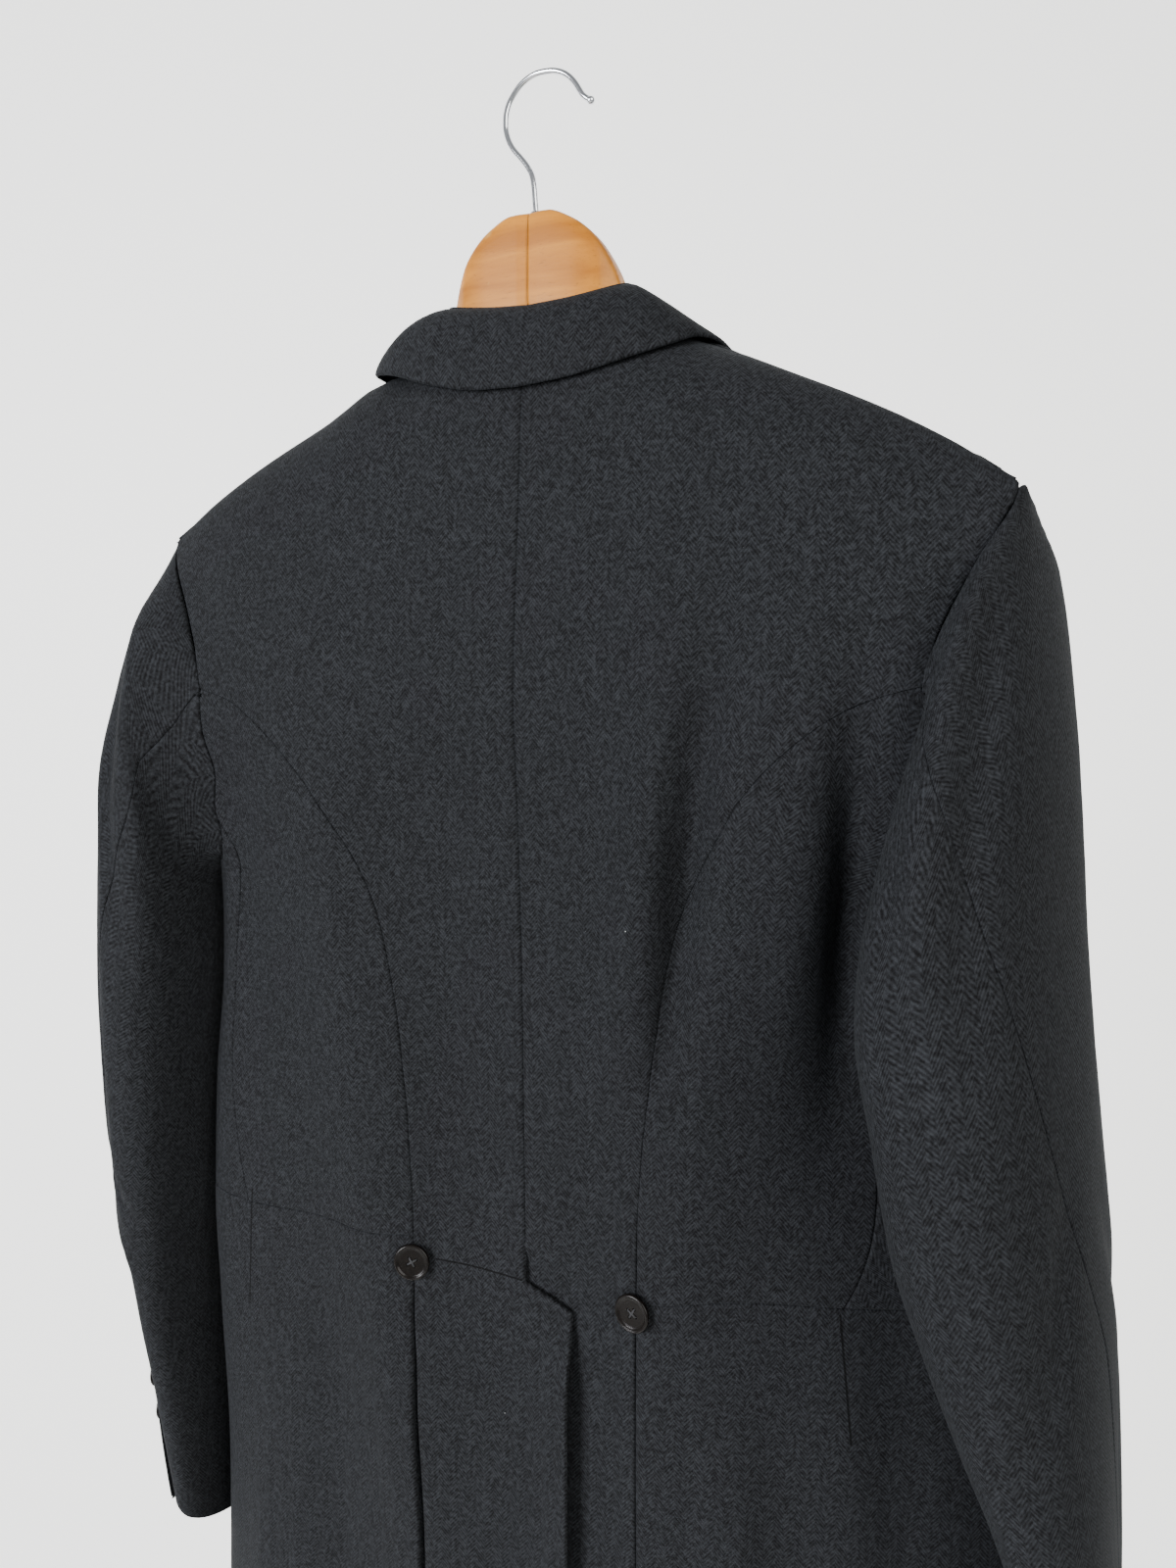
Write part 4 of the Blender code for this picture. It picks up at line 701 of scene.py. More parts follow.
def lapelNet(side):
    net = []
    share = steps(0.0, 1.0, 6)
    for along in steps(0.0, 1.0, 11)**1.1:
        rollZ = float(read(lapel, "along", "rollZ", along))
        edgeX = float(read(lapel, "along", "edgeX", along))
        edgeZ = float(read(lapel, "along", "edgeZ", along))
        across = float(read(rollLine, "height", "across", rollZ))
        if side > 0:  # the right lapel ends beside the lap of the left front
            across = max(across, 0.0018 - across)
            edgeX = max(edgeX, across + 0.004)
        x = across + (edgeX - across) * share
        dip = lapel["dip"] * ease(1 - along / 0.12) * np.sin(math.pi * share**0.8)
        net.append(onX(side, x, rollZ + (edgeZ - rollZ) * share - dip, front=True))
    return np.array(net)


# from a net to a fine surface with about one size of cell
rim = {"width": 0.0016, "depth": 0.0008, "under": 0.0008}


def curveAlong(net, marks):
    count = len(net)
    flat = net.reshape(count, -1)
    fine = []
    for number, one in enumerate(flat.T):
        straight = number % 3 == 2
        fine.append(np.interp(marks, np.arange(count), one) if straight
                    else smoothCurve(np.arange(count), one, marks))
    return np.stack(fine, axis=-1).reshape((len(marks),) + net.shape[1:])


# every row of the net stays, with close loops beside both borders for the pressed seams
def marksBetween(gaps, cell):
    along = np.concatenate([[0.0], np.cumsum(gaps)])
    near = [part * rim["width"] for part in (0.3, 0.62, 1.0)]
    places = list(along) + near + [along[-1] - one for one in near]
    for place in steps(0.0, along[-1], int(along[-1] / cell) + 2):
        if np.min(np.abs(np.array(places) - place)) > 0.45 * cell:
            places.append(place)
    return np.interp(np.unique(np.round(places, 6)), along, np.arange(len(along)))


def refined(net, points, cell):
    down = np.linalg.norm(np.diff(points, axis=0), axis=-1).mean(axis=1)
    across = np.linalg.norm(np.diff(points, axis=1), axis=-1).mean(axis=0)
    tall = curveAlong(net, marksBetween(down, cell))
    wide = curveAlong(np.swapaxes(tall, 0, 1), marksBetween(across, cell))
    return np.swapaxes(wide, 0, 1)


def gridNormals(points, towards):
    normals = np.cross(np.gradient(points, axis=0), np.gradient(points, axis=1))
    normals = normals / np.maximum(np.linalg.norm(normals, axis=-1, keepdims=True), 1e-9)
    away = points - np.asarray(towards)
    return normals * np.sign(np.mean(np.sum(normals * away, axis=-1)))


# the borders sink a little, as a seam does where it is pressed and an edge where it is turned
def pressedEdges(points, normals, depth=1.0):
    down = np.linalg.norm(np.diff(points, axis=0), axis=-1)
    across = np.linalg.norm(np.diff(points, axis=1), axis=-1)
    fromTop = np.pad(np.cumsum(down, axis=0), ((1, 0), (0, 0)))
    fromStart = np.pad(np.cumsum(across, axis=1), ((0, 0), (1, 0)))
    near = np.minimum(np.minimum(fromTop, fromTop[-1:] - fromTop),
                      np.minimum(fromStart, fromStart[:, -1:] - fromStart))
    inside = np.clip(1.0 - near / rim["width"], 0.0, 1.0)
    drop = rim["depth"] * depth * (1.0 - np.sqrt(1.0 - inside**2))
    points = points - normals * drop[..., None]
    for edge, inner in ((np.s_[0], np.s_[1]), (np.s_[-1], np.s_[-2]), (np.s_[:, 0], np.s_[:, 1]),
                        (np.s_[:, -1], np.s_[:, -2])):
        way = points[edge] - points[inner]
        way = way / np.maximum(np.linalg.norm(way, axis=-1, keepdims=True), 1e-9)
        points[edge] = points[edge] + way * rim["under"]
    return points


# the cloth laid flat, so that its stripes keep to the grain: metres along the weft and the warp
def laidFlat(points, reference=0.0, rings=False):
    level = np.linalg.norm(np.diff(points, axis=1)[..., :2], axis=-1)
    arc = np.pad(np.cumsum(level, axis=1), ((0, 0), (1, 0)))
    way = np.gradient(points, axis=1)
    way[..., 2] = 0.0
    way = way / np.maximum(np.linalg.norm(way, axis=-1, keepdims=True), 1e-9)
    down = np.diff(points, axis=0)
    aside = np.sum(down * (way[:-1] + way[1:]) / 2, axis=-1)
    rest = np.sqrt(np.maximum(np.sum(down**2, axis=-1) - aside**2, 0.0))
    at = int(reference * (points.shape[1] - 1))
    drift = np.pad(np.cumsum(aside[:, at]), (1, 0))
    u = arc - arc[:, at:at + 1] + drift[:, None]
    fromTop = np.pad(np.cumsum(rest, axis=0), ((1, 0), (0, 0)))
    v = points[-1:, :, 2] + fromTop[-1:] - fromTop
    if rings:  # round a sleeve the weft runs straight across
        v = v.mean(axis=1, keepdims=True) + 0.0 * v
    return np.stack([u, v], axis=-1)


def hexToLinear(code, alpha=1.0):
    parts = [int(code[i:i + 2], 16) / 255 for i in (1, 3, 5)]
    return tuple(p / 12.92 if p <= 0.04045 else ((p + 0.055) / 1.055)**2.4 for p in parts) + (alpha,)


# settings are a node's own options and fixed inputs; links may be sockets or fixed values
def addNode(tree, kind, settings=None, links=None, out=None):
    node = tree.nodes.new("ShaderNode" + kind)
    for name, value in (settings or {}).items():
        if hasattr(node, name):
            setattr(node, name, value)
        else:
            node.inputs[name].default_value = value
    for name, value in (links or {}).items():
        if isinstance(value, bpy.types.NodeSocket):
            tree.links.new(value, node.inputs[name])
        else:
            node.inputs[name].default_value = value
    return node if out is None else node.outputs[out]


def newMaterial(name):
    material = bpy.data.materials.new(name)
    material.use_nodes = True
    tree = material.node_tree
    tree.nodes.clear()
    shader = addNode(tree, "BsdfPrincipled")
    addNode(tree, "OutputMaterial", links={"Surface": shader.outputs["BSDF"]})
    return material, tree, shader


blend = {"data_type": "RGBA", "blend_type": "MIX"}
tint = {"data_type": "RGBA", "blend_type": "MULTIPLY"}
worsted = {
    "band": 0.0050,  # width of one stripe of the herringbone
    "pitch": 0.0021,  # of its twill lines: really about 1 mm, which is too fine to be seen
    "dark": "#040405",
    "light": "#25272a",
    "lint": "#8f9290",
    "stitch": "#5a5a5a",
    "stitched": (((0.1585, -0.602), (0.1645, -0.6675)), ((-0.1815, -0.5935), (-0.1876, -0.6655)),
                 ((-0.0500, -0.6045), (-0.0010, -0.6080))),
}


# near-black wool: stripes of slanting lines that turn at each band, dull, with a soft nap at grazing light
def makeWorsted():
    material, tree, shader = newMaterial("charcoal herringbone wool")
    uv = addNode(tree, "UVMap", {"uv_map": "cloth"}, out="UV")
    place = addNode(tree, "TexCoord", out="Object")
    wander = addNode(tree, "TexNoise", {"Scale": 260.0, "Detail": 2.0}, {"Vector": uv}, "Fac")
    wander = addNode(tree, "Math", {"operation": "MULTIPLY"}, {0: wander, 1: 0.0006}, 0)
    apart = addNode(tree, "SeparateXYZ", links={"Vector": uv}).outputs
    v = addNode(tree, "Math", {"operation": "ADD"}, {0: apart["Y"], 1: wander}, 0)
    number = addNode(tree, "Math", {"operation": "DIVIDE"}, {0: apart["X"], 1: worsted["band"]}, 0)
    number = addNode(tree, "Math", {"operation": "FLOOR"}, {0: number}, 0)
    odd = addNode(tree, "Math", {"operation": "PINGPONG"}, {0: number, 1: 1.0}, 0)
    zigzag = addNode(tree, "Math", {"operation": "PINGPONG"}, {0: apart["X"], 1: worsted["band"]}, 0)
    zigzag = addNode(tree, "Math", {"operation": "MULTIPLY"}, {0: zigzag, 1: 1.15}, 0)
    broken = addNode(tree, "Math", {"operation": "MULTIPLY"}, {0: odd, 1: worsted["pitch"] / 2}, 0)
    run = addNode(tree, "Math", {"operation": "ADD"}, {0: v, 1: zigzag}, 0)
    run = addNode(tree, "Math", {"operation": "ADD"}, {0: run, 1: broken}, 0)
    wave = addNode(tree, "Math", {"operation": "PINGPONG"}, {0: run, 1: worsted["pitch"] / 2}, 0)
    wave = addNode(tree, "Math", {"operation": "DIVIDE"}, {0: wave, 1: worsted["pitch"] / 2}, 0)
    line = addNode(tree, "MapRange", {"interpolation_type": "SMOOTHSTEP", "From Min": 0.2, "From Max": 0.8},
                   {"Value": wave}, "Result")
    # the yarn's own fibre keeps its size where the cloth is eased
    yarn = addNode(tree, "TexNoise", {"Scale": 560.0, "Detail": 3.0}, {"Vector": place}, "Fac")
    yarn = addNode(tree, "MapRange", {"From Min": 0.34, "From Max": 0.66}, {"Value": yarn}, "Result")
    faint = addNode(tree, "Math", {"operation": "MULTIPLY"}, {0: line, 1: 0.34}, 0)
    strong = addNode(tree, "Math", {"operation": "MULTIPLY"}, {0: yarn, 1: 0.66}, 0)
    mottled = addNode(tree, "Math", {"operation": "ADD"}, {0: faint, 1: strong}, 0)
    mottled = addNode(tree, "Math", {"operation": "POWER"}, {0: mottled, 1: 1.25}, 0)
    colour = addNode(tree, "Mix", blend, {"Factor": mottled, 6: hexToLinear(worsted["dark"]),
                                          7: hexToLinear(worsted["light"])}, 2)
    stripe = addNode(tree, "Math", {"operation": "MULTIPLY"}, {0: odd, 1: 0.03}, 0)
    stripe = addNode(tree, "Math", {"operation": "ADD"}, {0: stripe, 1: 0.985}, 0)
    colour = addNode(tree, "Mix", tint, {"Factor": 1.0, 6: colour, 7: stripe}, 2)
    cloud = addNode(tree, "TexNoise", {"Scale": 7.0, "Detail": 3.0}, {"Vector": place}, "Fac")
    cloud = addNode(tree, "Math", {"operation": "MULTIPLY"}, {0: cloud, 1: 0.30}, 0)
    cloud = addNode(tree, "Math", {"operation": "ADD"}, {0: cloud, 1: 0.85}, 0)
    colour = addNode(tree, "Mix", tint, {"Factor": 1.0, 6: colour, 7: cloud}, 2)
    # stitched lines: a dart on each hip, and the back's own waist line beside the vent
    parts = addNode(tree, "SeparateXYZ", links={"Vector": place}).outputs
    for (x0, z0), (x1, z1) in worsted["stitched"]:
        length = math.hypot(x1 - x0, z1 - z0)
        toX = (x1 - x0) / length
        toZ = (z1 - z0) / length
        # a turned Mapping gives the distance along the line in X and beside it in Z
        turned = addNode(tree, "Mapping", {"vector_type": "TEXTURE", "Location": (x0, 0.0, z0),
                                           "Rotation": (0.0, -math.atan2(toZ, toX), 0.0)}, {"Vector": place}, 0)
        beside = addNode(tree, "SeparateXYZ", links={"Vector": turned}).outputs
        aside = addNode(tree, "Math", {"operation": "ABSOLUTE"}, {0: beside["Z"]}, 0)
        stitched = addNode(tree, "Math", {"operation": "LESS_THAN"}, {0: aside, 1: 0.0005}, 0)
        for test, value, limit in (("GREATER_THAN", beside["X"], 0.0), ("LESS_THAN", beside["X"], length),
                                   ("LESS_THAN", parts["Y"], 0.035)):
            within = addNode(tree, "Math", {"operation": test}, {0: value, 1: limit}, 0)
            stitched = addNode(tree, "Math", {"operation": "MULTIPLY"}, {0: stitched, 1: within}, 0)
        colour = addNode(tree, "Mix", tint, {"Factor": stitched, 6: colour,
                                             7: hexToLinear(worsted["stitch"])}, 2)
    # a few specks of pale lint
    speck = addNode(tree, "TexVoronoi", {"Scale": 34.0}, {"Vector": place}, "Distance")
    speck = addNode(tree, "Math", {"operation": "LESS_THAN"}, {0: speck, 1: 0.012}, 0)
    few = addNode(tree, "TexNoise", {"Scale": 21.0}, {"Vector": place}, "Fac")
    few = addNode(tree, "Math", {"operation": "GREATER_THAN"}, {0: few, 1: 0.60}, 0)
    lint = addNode(tree, "Math", {"operation": "MULTIPLY"}, {0: speck, 1: few}, 0)
    colour = addNode(tree, "Mix", blend, {"Factor": lint, 6: colour, 7: hexToLinear(worsted["lint"])}, 2)
    nap = addNode(tree, "TexNoise", {"Scale": 1700.0, "Detail": 2.0}, {"Vector": place}, "Fac")
    nap = addNode(tree, "Math", {"operation": "MULTIPLY"}, {0: nap, 1: 0.7}, 0)
    height = addNode(tree, "Math", {"operation": "ADD"}, {0: line, 1: nap}, 0)
    bump = addNode(tree, "Bump", {"Strength": 0.32, "Distance": 0.0004}, {"Height": height}, "Normal")
    tree.links.new(colour, shader.inputs["Base Color"])
    tree.links.new(bump, shader.inputs["Normal"])
    shader.inputs["Roughness"].default_value = 0.85
    shader.inputs["Specular IOR Level"].default_value = 0.12
    shader.inputs["Sheen Weight"].default_value = 0.05
    shader.inputs["Sheen Roughness"].default_value = 0.45
    shader.inputs["Sheen Tint"].default_value = hexToLinear("#9aa3a8")
    return material


horn = {"dark": "#050505", "light": "#15110e"}


# polished dark horn: hard small highlights and faint brown streaks
def makeHorn():
    material, tree, shader = newMaterial("polished dark horn")
    place = addNode(tree, "TexCoord", out="Object")
    streak = addNode(tree, "TexNoise", {"Scale": 320.0, "Detail": 4.0, "Distortion": 1.2},
                     {"Vector": place}, "Fac")
    colour = addNode(tree, "Mix", blend, {"Factor": streak, 6: hexToLinear(horn["dark"]),
                                          7: hexToLinear(horn["light"])}, 2)
    bump = addNode(tree, "Bump", {"Strength": 0.06, "Distance": 0.0003}, {"Height": streak}, "Normal")
    tree.links.new(colour, shader.inputs["Base Color"])
    tree.links.new(bump, shader.inputs["Normal"])
    shader.inputs["Roughness"].default_value = 0.24
    shader.inputs["Coat Weight"].default_value = 0.06
    shader.inputs["Specular IOR Level"].default_value = 0.15
    shader.inputs["Coat Roughness"].default_value = 0.08
    return material


# dull twisted thread that holds the buttons
def makeThread():
    material, tree, shader = newMaterial("waxed button thread")
    place = addNode(tree, "TexCoord", out="Object")
    twist = addNode(tree, "TexWave", {"Scale": 900.0, "bands_direction": "DIAGONAL"}, {"Vector": place}, "Fac")
    colour = addNode(tree, "Mix", blend, {"Factor": twist, 6: hexToLinear("#101112"),
                                          7: hexToLinear("#2b2c2e")}, 2)
    tree.links.new(colour, shader.inputs["Base Color"])
    shader.inputs["Roughness"].default_value = 0.7
    return material


beech = {"pale": "#b87824", "mid": "#955a12", "dark": "#5d360a", "scuff": "#a97b3a"}


# clear-varnished beech: long pale grain, short dark flecks and a few dull scuffs
def makeWood():
    material, tree, shader = newMaterial("varnished beech")
    place = addNode(tree, "TexCoord", out="Object")
    long = addNode(tree, "Mapping", {"Scale": (9.0, 120.0, 120.0)}, {"Vector": place}, "Vector")
    grain = addNode(tree, "TexNoise", {"Scale": 1.0, "Detail": 6.0, "Distortion": 0.4}, {"Vector": long}, "Fac")
    grain = addNode(tree, "MapRange", {"From Min": 0.32, "From Max": 0.68}, {"Value": grain}, "Result")
    short = addNode(tree, "Mapping", {"Scale": (260.0, 1900.0, 1900.0)}, {"Vector": place}, "Vector")
    fleck = addNode(tree, "TexNoise", {"Scale": 1.0, "Detail": 3.0}, {"Vector": short}, "Fac")
    flecked = addNode(tree, "MapRange", {"From Min": 0.62, "From Max": 0.74, "To Max": 0.55}, {"Value": fleck},
                      "Result")
    colour = addNode(tree, "Mix", blend, {"Factor": grain, 6: hexToLinear(beech["mid"]),
                                          7: hexToLinear(beech["pale"])}, 2)
    colour = addNode(tree, "Mix", blend, {"Factor": flecked, 6: colour, 7: hexToLinear(beech["dark"])}, 2)
    scuff = addNode(tree, "TexNoise", {"Scale": 55.0, "Detail": 5.0}, {"Vector": place}, "Fac")
    scuff = addNode(tree, "MapRange", {"From Min": 0.64, "From Max": 0.70}, {"Value": scuff}, "Result")
    colour = addNode(tree, "Mix", blend, {"Factor": scuff, 6: colour, 7: hexToLinear(beech["scuff"])}, 2)
    rough = addNode(tree, "Math", {"operation": "MULTIPLY"}, {0: scuff, 1: 0.3}, 0)
    rough = addNode(tree, "Math", {"operation": "ADD"}, {0: rough, 1: 0.42}, 0)
    bump = addNode(tree, "Bump", {"Strength": 0.12, "Distance": 0.0004}, {"Height": fleck}, "Normal")
    tree.links.new(colour, shader.inputs["Base Color"])
    tree.links.new(rough, shader.inputs["Roughness"])
    tree.links.new(bump, shader.inputs["Normal"])
    shader.inputs["Coat Weight"].default_value = 0.05
    shader.inputs["Specular IOR Level"].default_value = 0.25
    shader.inputs["Coat Roughness"].default_value = 0.15
    return material


# bright plated wire with fine rubbing along it
def makeChrome():
    material, tree, shader = newMaterial("plated steel wire")
    place = addNode(tree, "TexCoord", out="Object")
    rubbed = addNode(tree, "TexNoise", {"Scale": 700.0, "Detail": 4.0}, {"Vector": place}, "Fac")
    rough = addNode(tree, "MapRange", {"To Min": 0.08, "To Max": 0.24}, {"Value": rubbed}, "Result")
    bump = addNode(tree, "Bump", {"Strength": 0.05, "Distance": 0.0002}, {"Height": rubbed}, "Normal")
    tree.links.new(rough, shader.inputs["Roughness"])
    tree.links.new(bump, shader.inputs["Normal"])
    shader.inputs["Base Color"].default_value = hexToLinear("#cfd1d4")
    shader.inputs["Metallic"].default_value = 1.0
    return material


materials = {"worsted": makeWorsted(), "button": makeHorn(), "thread": makeThread(),
             "wood": makeWood(), "chrome": makeChrome()}
print("materials made")


def finish(bm, name, material, nodes=()):
    mesh = bpy.data.meshes.new(name)
    bm.to_mesh(mesh)
    bm.free()
    mesh.materials.append(materials[material])
    piece = bpy.data.objects.new(name, mesh)
    bpy.context.scene.collection.objects.link(piece)
    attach(piece, "root")
    if nodes:
        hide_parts(*nodes)
    return piece


# how far in the pleat's edges turn, and how far the skirt's edge then runs behind the back
pleat = {"deep": 0.0105, "skirtDeep": 0.0140, "behind": 0.0160}


def clothPiece(name, points, towards, reference=0.0, pleatColumn=None, pressed=1.0,
               normals=None):
    flat = laidFlat(points, reference, rings=normals is not None)
    normals = gridNormals(points, towards) if normals is None else normals
    points = pressedEdges(points, normals, pressed) + nape
    rows, columns = points.shape[:2]
    bm = bmesh.new()
    bmesh.ops.create_grid(bm, x_segments=columns - 1, y_segments=rows - 1, size=1.0)
    bm.verts.ensure_lookup_table()
    places = {}
    for vert, place, cut in zip(list(bm.verts), points.reshape(-1, 3), flat.reshape(-1, 2)):
        vert.co = place
        places[vert] = cut
    bm.normal_update()
    if bm.verts[rows // 2 * columns + columns // 2].normal.dot(Vector(normals[rows // 2, columns // 2])) < 0:
        bmesh.ops.reverse_faces(bm, faces=bm.faces)
    area = sum(face.calc_area() for face in bm.faces)
    if pleatColumn is not None:  # the pleat's edge turns in, and the skirt's side closes the fold behind
        onSkirt = pleatColumn == 0
        line = [bm.verts[row * columns + pleatColumn % columns] for row in range(rows)
                if onSkirt or points[row, 0, 2] < nape[2] + levels["vent"][1] + 0.006]
        edges = [bm.edges.get(pair) for pair in zip(line, line[1:])]
        ways = [Vector((0.0, pleat["skirtDeep" if onSkirt else "deep"], 0.0))]
        if onSkirt:
            ways.append(Vector((-math.copysign(pleat["behind"], points[-1, 0, 0]), 0.0, 0.0)))
        for way in ways:
            turned = bmesh.ops.extrude_edge_only(bm, edges=edges)["geom"]
            new = [one for one in turned if isinstance(one, bmesh.types.BMVert)]
            for vert in new:
                start = min(line, key=lambda one: (one.co - vert.co).length_squared)
                places[vert] = places[start] + np.array((-way.length if onSkirt else way.length, 0.0))
            bmesh.ops.translate(bm, verts=new, vec=way)
            edges = [one for one in turned if isinstance(one, bmesh.types.BMEdge)
                     and one.verts[0] in new and one.verts[1] in new]
            line = new
    layer = bm.loops.layers.uv.new("cloth")
    for face in bm.faces:
        face.smooth = True
        for loop in face.loops:
            loop[layer].uv = places[loop.vert]
    piece = finish(bm, name + "_cloth", "worsted", (name,))
    thick = piece.modifiers.new("cloth", "SOLIDIFY")
    thick.thickness = body["wall"]
    thick.offset = -1.0
    return piece


# the body of the coat
def bodyCloth(name, side, net, reference, pleatColumn=None, out=0.0, cell=0.0048):
    fine = refined(net, bodyPoint(side, net[..., 0], net[..., 1]), cell)
    points = bodyPoint(side, fine[..., 0], fine[..., 1])
    if out:
        points = points + out * bodyNormal(side, fine[..., 0], fine[..., 1])
    points[..., 0] += fine[..., 2]
    if name == "back_left":  # the free edge of the upper tail stands away from the lower one
        points[..., 1] -= 0.0080 * ease(np.abs(fine[..., 2]) / 0.027) * ease((-fine[..., 1] - 0.462) / 0.05)
    middle = points * (0.6, 0.0, 1.0) + (0.0, 0.070, -0.03)
    return clothPiece(name, points, middle, reference, pleatColumn)


for side, word in ((-1, "left"), (1, "right")):
    bodyCloth(f"back_{word}", side, backNet(side), 0.0, -1)
    bodyCloth(f"sidebody_{word}", side, sideBodyNet(side), 0.5)
    bodyCloth(f"forepart_{word}", side, forepartNet(side), 0.5, None, cell=0.006)
    bodyCloth(f"skirt_{word}", side, skirtNet(side), 0.0, 0)
    bodyCloth(f"lapel_{word}", side, lapelNet(side), 0.0, None, lapel["out"])
print("body made")


# sleeves
def sleeveSection(side, along, turn):
    rows = sleeve[side]
    mark = along * (len(rows) - 1)
    value = {}
    for name in sleeve["columns"]:
        value[name] = smoothCurve(np.arange(len(rows)), column(sleeve, name, side), mark)
    angle = np.radians(turn)
    power = 2.0 / sleeve["square"]
    cosine = np.sign(np.cos(angle)) * np.abs(np.cos(angle))**power
    sine = np.sign(np.sin(angle)) * np.abs(np.sin(angle))**power
    yaw = np.radians(value["yaw"])
    x = value["x"] + value["halfThick"] * cosine * np.cos(yaw) - value["halfDeep"] * sine * np.sin(yaw)
    y = value["y"] - value["halfThick"] * cosine * np.sin(yaw) - value["halfDeep"] * sine * np.cos(yaw)
    middle = (value["outerZ"] + value["innerZ"]) / 2
    z = middle + (value["outerZ"] - value["innerZ"]) / 2 * cosine
    return np.stack([side * x, y, z], axis=-1)


def sleevePoint(side, along, turn):
    along, turn = np.broadcast_arrays(np.asarray(along, float), np.asarray(turn, float))
    turn = turn % 360.0
    around, height = armhole(side, turn)
    edge = bodyPoint(side, around, height)
    tie = ((1 - np.clip(along / 0.090, 0.0, 1.0))**1.5)[..., None]
    return edge * tie + sleeveSection(side, along, turn) * (1 - tie)


# soft folds of the sleeves: where each starts and ends along and round, half width and rise
sleeveFolds = {
    1: (
        (0.10, 30.0, 0.42, 62.0, 0.011, -0.0050),
        (0.08, 55.0, 0.34, 84.0, 0.012, 0.0028),
        (0.16, 96.0, 0.46, 78.0, 0.010, -0.0030),
        (0.48, 14.0, 0.66, 60.0, 0.008, -0.0028),
        (0.52, 36.0, 0.70, 84.0, 0.009, -0.0024),
        (0.60, 100.0, 0.92, 84.0, 0.012, 0.0018),
        (0.12, 300.0, 0.50, 330.0, 0.013, -0.0035),
        (0.50, 350.0, 0.68, 300.0, 0.009, -0.0026),
    ),
    -1: (
        (0.12, 60.0, 0.36, 92.0, 0.010, -0.0046),
        (0.06, 96.0, 0.30, 120.0, 0.012, 0.0024),
        (0.30, 58.0, 0.62, 66.0, 0.008, -0.0034),
        (0.56, 40.0, 0.68, 98.0, 0.008, -0.0034),
        (0.62, 34.0, 0.76, 88.0, 0.009, 0.0022),
        (0.14, 310.0, 0.52, 332.0, 0.013, -0.0032),
        (0.52, 350.0, 0.70, 296.0, 0.009, -0.0026),
    ),
}


def sleeveFold(side, along, turn):
    total = np.zeros_like(along)
    for start, startTurn, end, endTurn, halfWidth, rise in sleeveFolds[side]:
        run = np.clip((along - start) / (end - start), 0.0, 1.0)
        aside = (turn - startTurn - (endTurn - startTurn) * run + 180.0) % 360.0 - 180.0
        past = np.maximum(start - along, 0.0) + np.maximum(along - end, 0.0)
        fade = np.exp(-(past / 0.03)**2) * np.sin(math.pi * (0.1 + 0.8 * run))
        total = total + rise * fade * np.exp(-(np.radians(aside) * 0.055 / halfWidth)**2)
    return total * ease(along / 0.06)


def sleeveNet(side, marks, fromTurn, toTurn):
    marks = np.array(marks)
    share = (marks - marks[0]) / (marks[-1] - marks[0])
    net = []
    for along in steps(0.0, 1.0, 16)**1.25:
        start = float(read(fromTurn, "along", "turn", along, side if side in fromTurn else 0))
        end = float(read(toTurn, "along", "turn", along, side if side in toTurn else 0))
        end = end + (360.0 if end < start else 0.0)
        net.append(np.stack([np.full(len(marks), along), start + (end - start) * share,
                             np.zeros(len(marks))], axis=-1))
    return np.array(net)


def sleeveCloth(name, side, net):
    fine = refined(net, sleevePoint(side, net[..., 0], net[..., 1]), 0.0048)
    along = fine[..., 0]
    turn = fine[..., 1]
    points = sleevePoint(side, along, turn)
    middle = (sleeveSection(side, along, 0.0) + sleeveSection(side, along, 180.0)) / 2
    outer = np.clip(np.cos(np.radians(turn)), 0.0, 1.0)
    head = 0.0022 * (0.4 + outer) * np.sin(math.pi * np.clip(along / 0.09, 0.0, 1.0)**0.6)
    normals = (points - middle) * (1.0, 1.0, 0.35)
    normals = normals / np.linalg.norm(normals, axis=-1, keepdims=True)
    points = points + normals * (sleeveFold(side, along, turn) + head)[..., None]
    points[..., 2] -= 0.0030 * outer * (1 - ease(along / 0.03))
    if name.startswith("top"):  # the cuff's vent: the buttoned edge flares open at its end
        fromVent = np.abs(turn - 360.0 - read(elbowLine, "along", "turn", along, side))
        flare = 0.0045 * ease((along - 0.86) / 0.14) * np.exp(-(fromVent / 9.0)**2)
        points = points + normals * flare[..., None]
    return clothPiece(name, points, middle, 0.5, normals=normals)


for side, word in ((-1, "left"), (1, "right")):
    sleeveCloth(f"under_sleeve_{word}", side, sleeveNet(side, turns["under"], elbowLine, forearmLine))
    sleeveCloth(f"top_sleeve_{word}", side, sleeveNet(side, turns["top"], forearmLine, elbowLine))
print("sleeves made")


# collar
def collarLine(along):
    side = 1 if along >= 0 else -1
    value = {name: float(read(collar, "along", name, abs(along), side)) for name in collar["columns"][1:]}
    fold = np.array((side * value["foldX"], value["foldY"], value["foldZ"]))
    edge = np.array((side * value["edgeX"], value["edgeY"], value["edgeZ"]))
    return fold, edge, value


def neckSeam(along):
    side = math.copysign(1.0, along)
    share = abs(along) / 0.52  # the rest of the stand runs down the lapel's roll line
    if share <= 1.0:
        depth, height = topLine(body["neckHalf"] * share, side)
        return np.array((side * body["neckHalf"] * share, float(depth), float(height)))
    z = 0.0245 + (-0.010 - 0.0245) * (share - 1) / (1 / 0.52 - 1)
    across = float(read(rollLine, "height", "across", z))
    return bodyPoint(side, float(aroundAt(side, across, z, True)), z)


def fallGrid(alongs, shares):
    grid = []
    for along in alongs:
        fold, edge, value = collarLine(along)
        out = (1 - (1 - shares)**value["roll"])[:, None]
        flat = fold[:2] + (edge[:2] - fold[:2]) * out
        height = fold[2] + (edge[2] - fold[2]) * shares**value["slope"]
        grid.append(np.concatenate([flat, height[:, None]], axis=1))
    return np.array(grid)


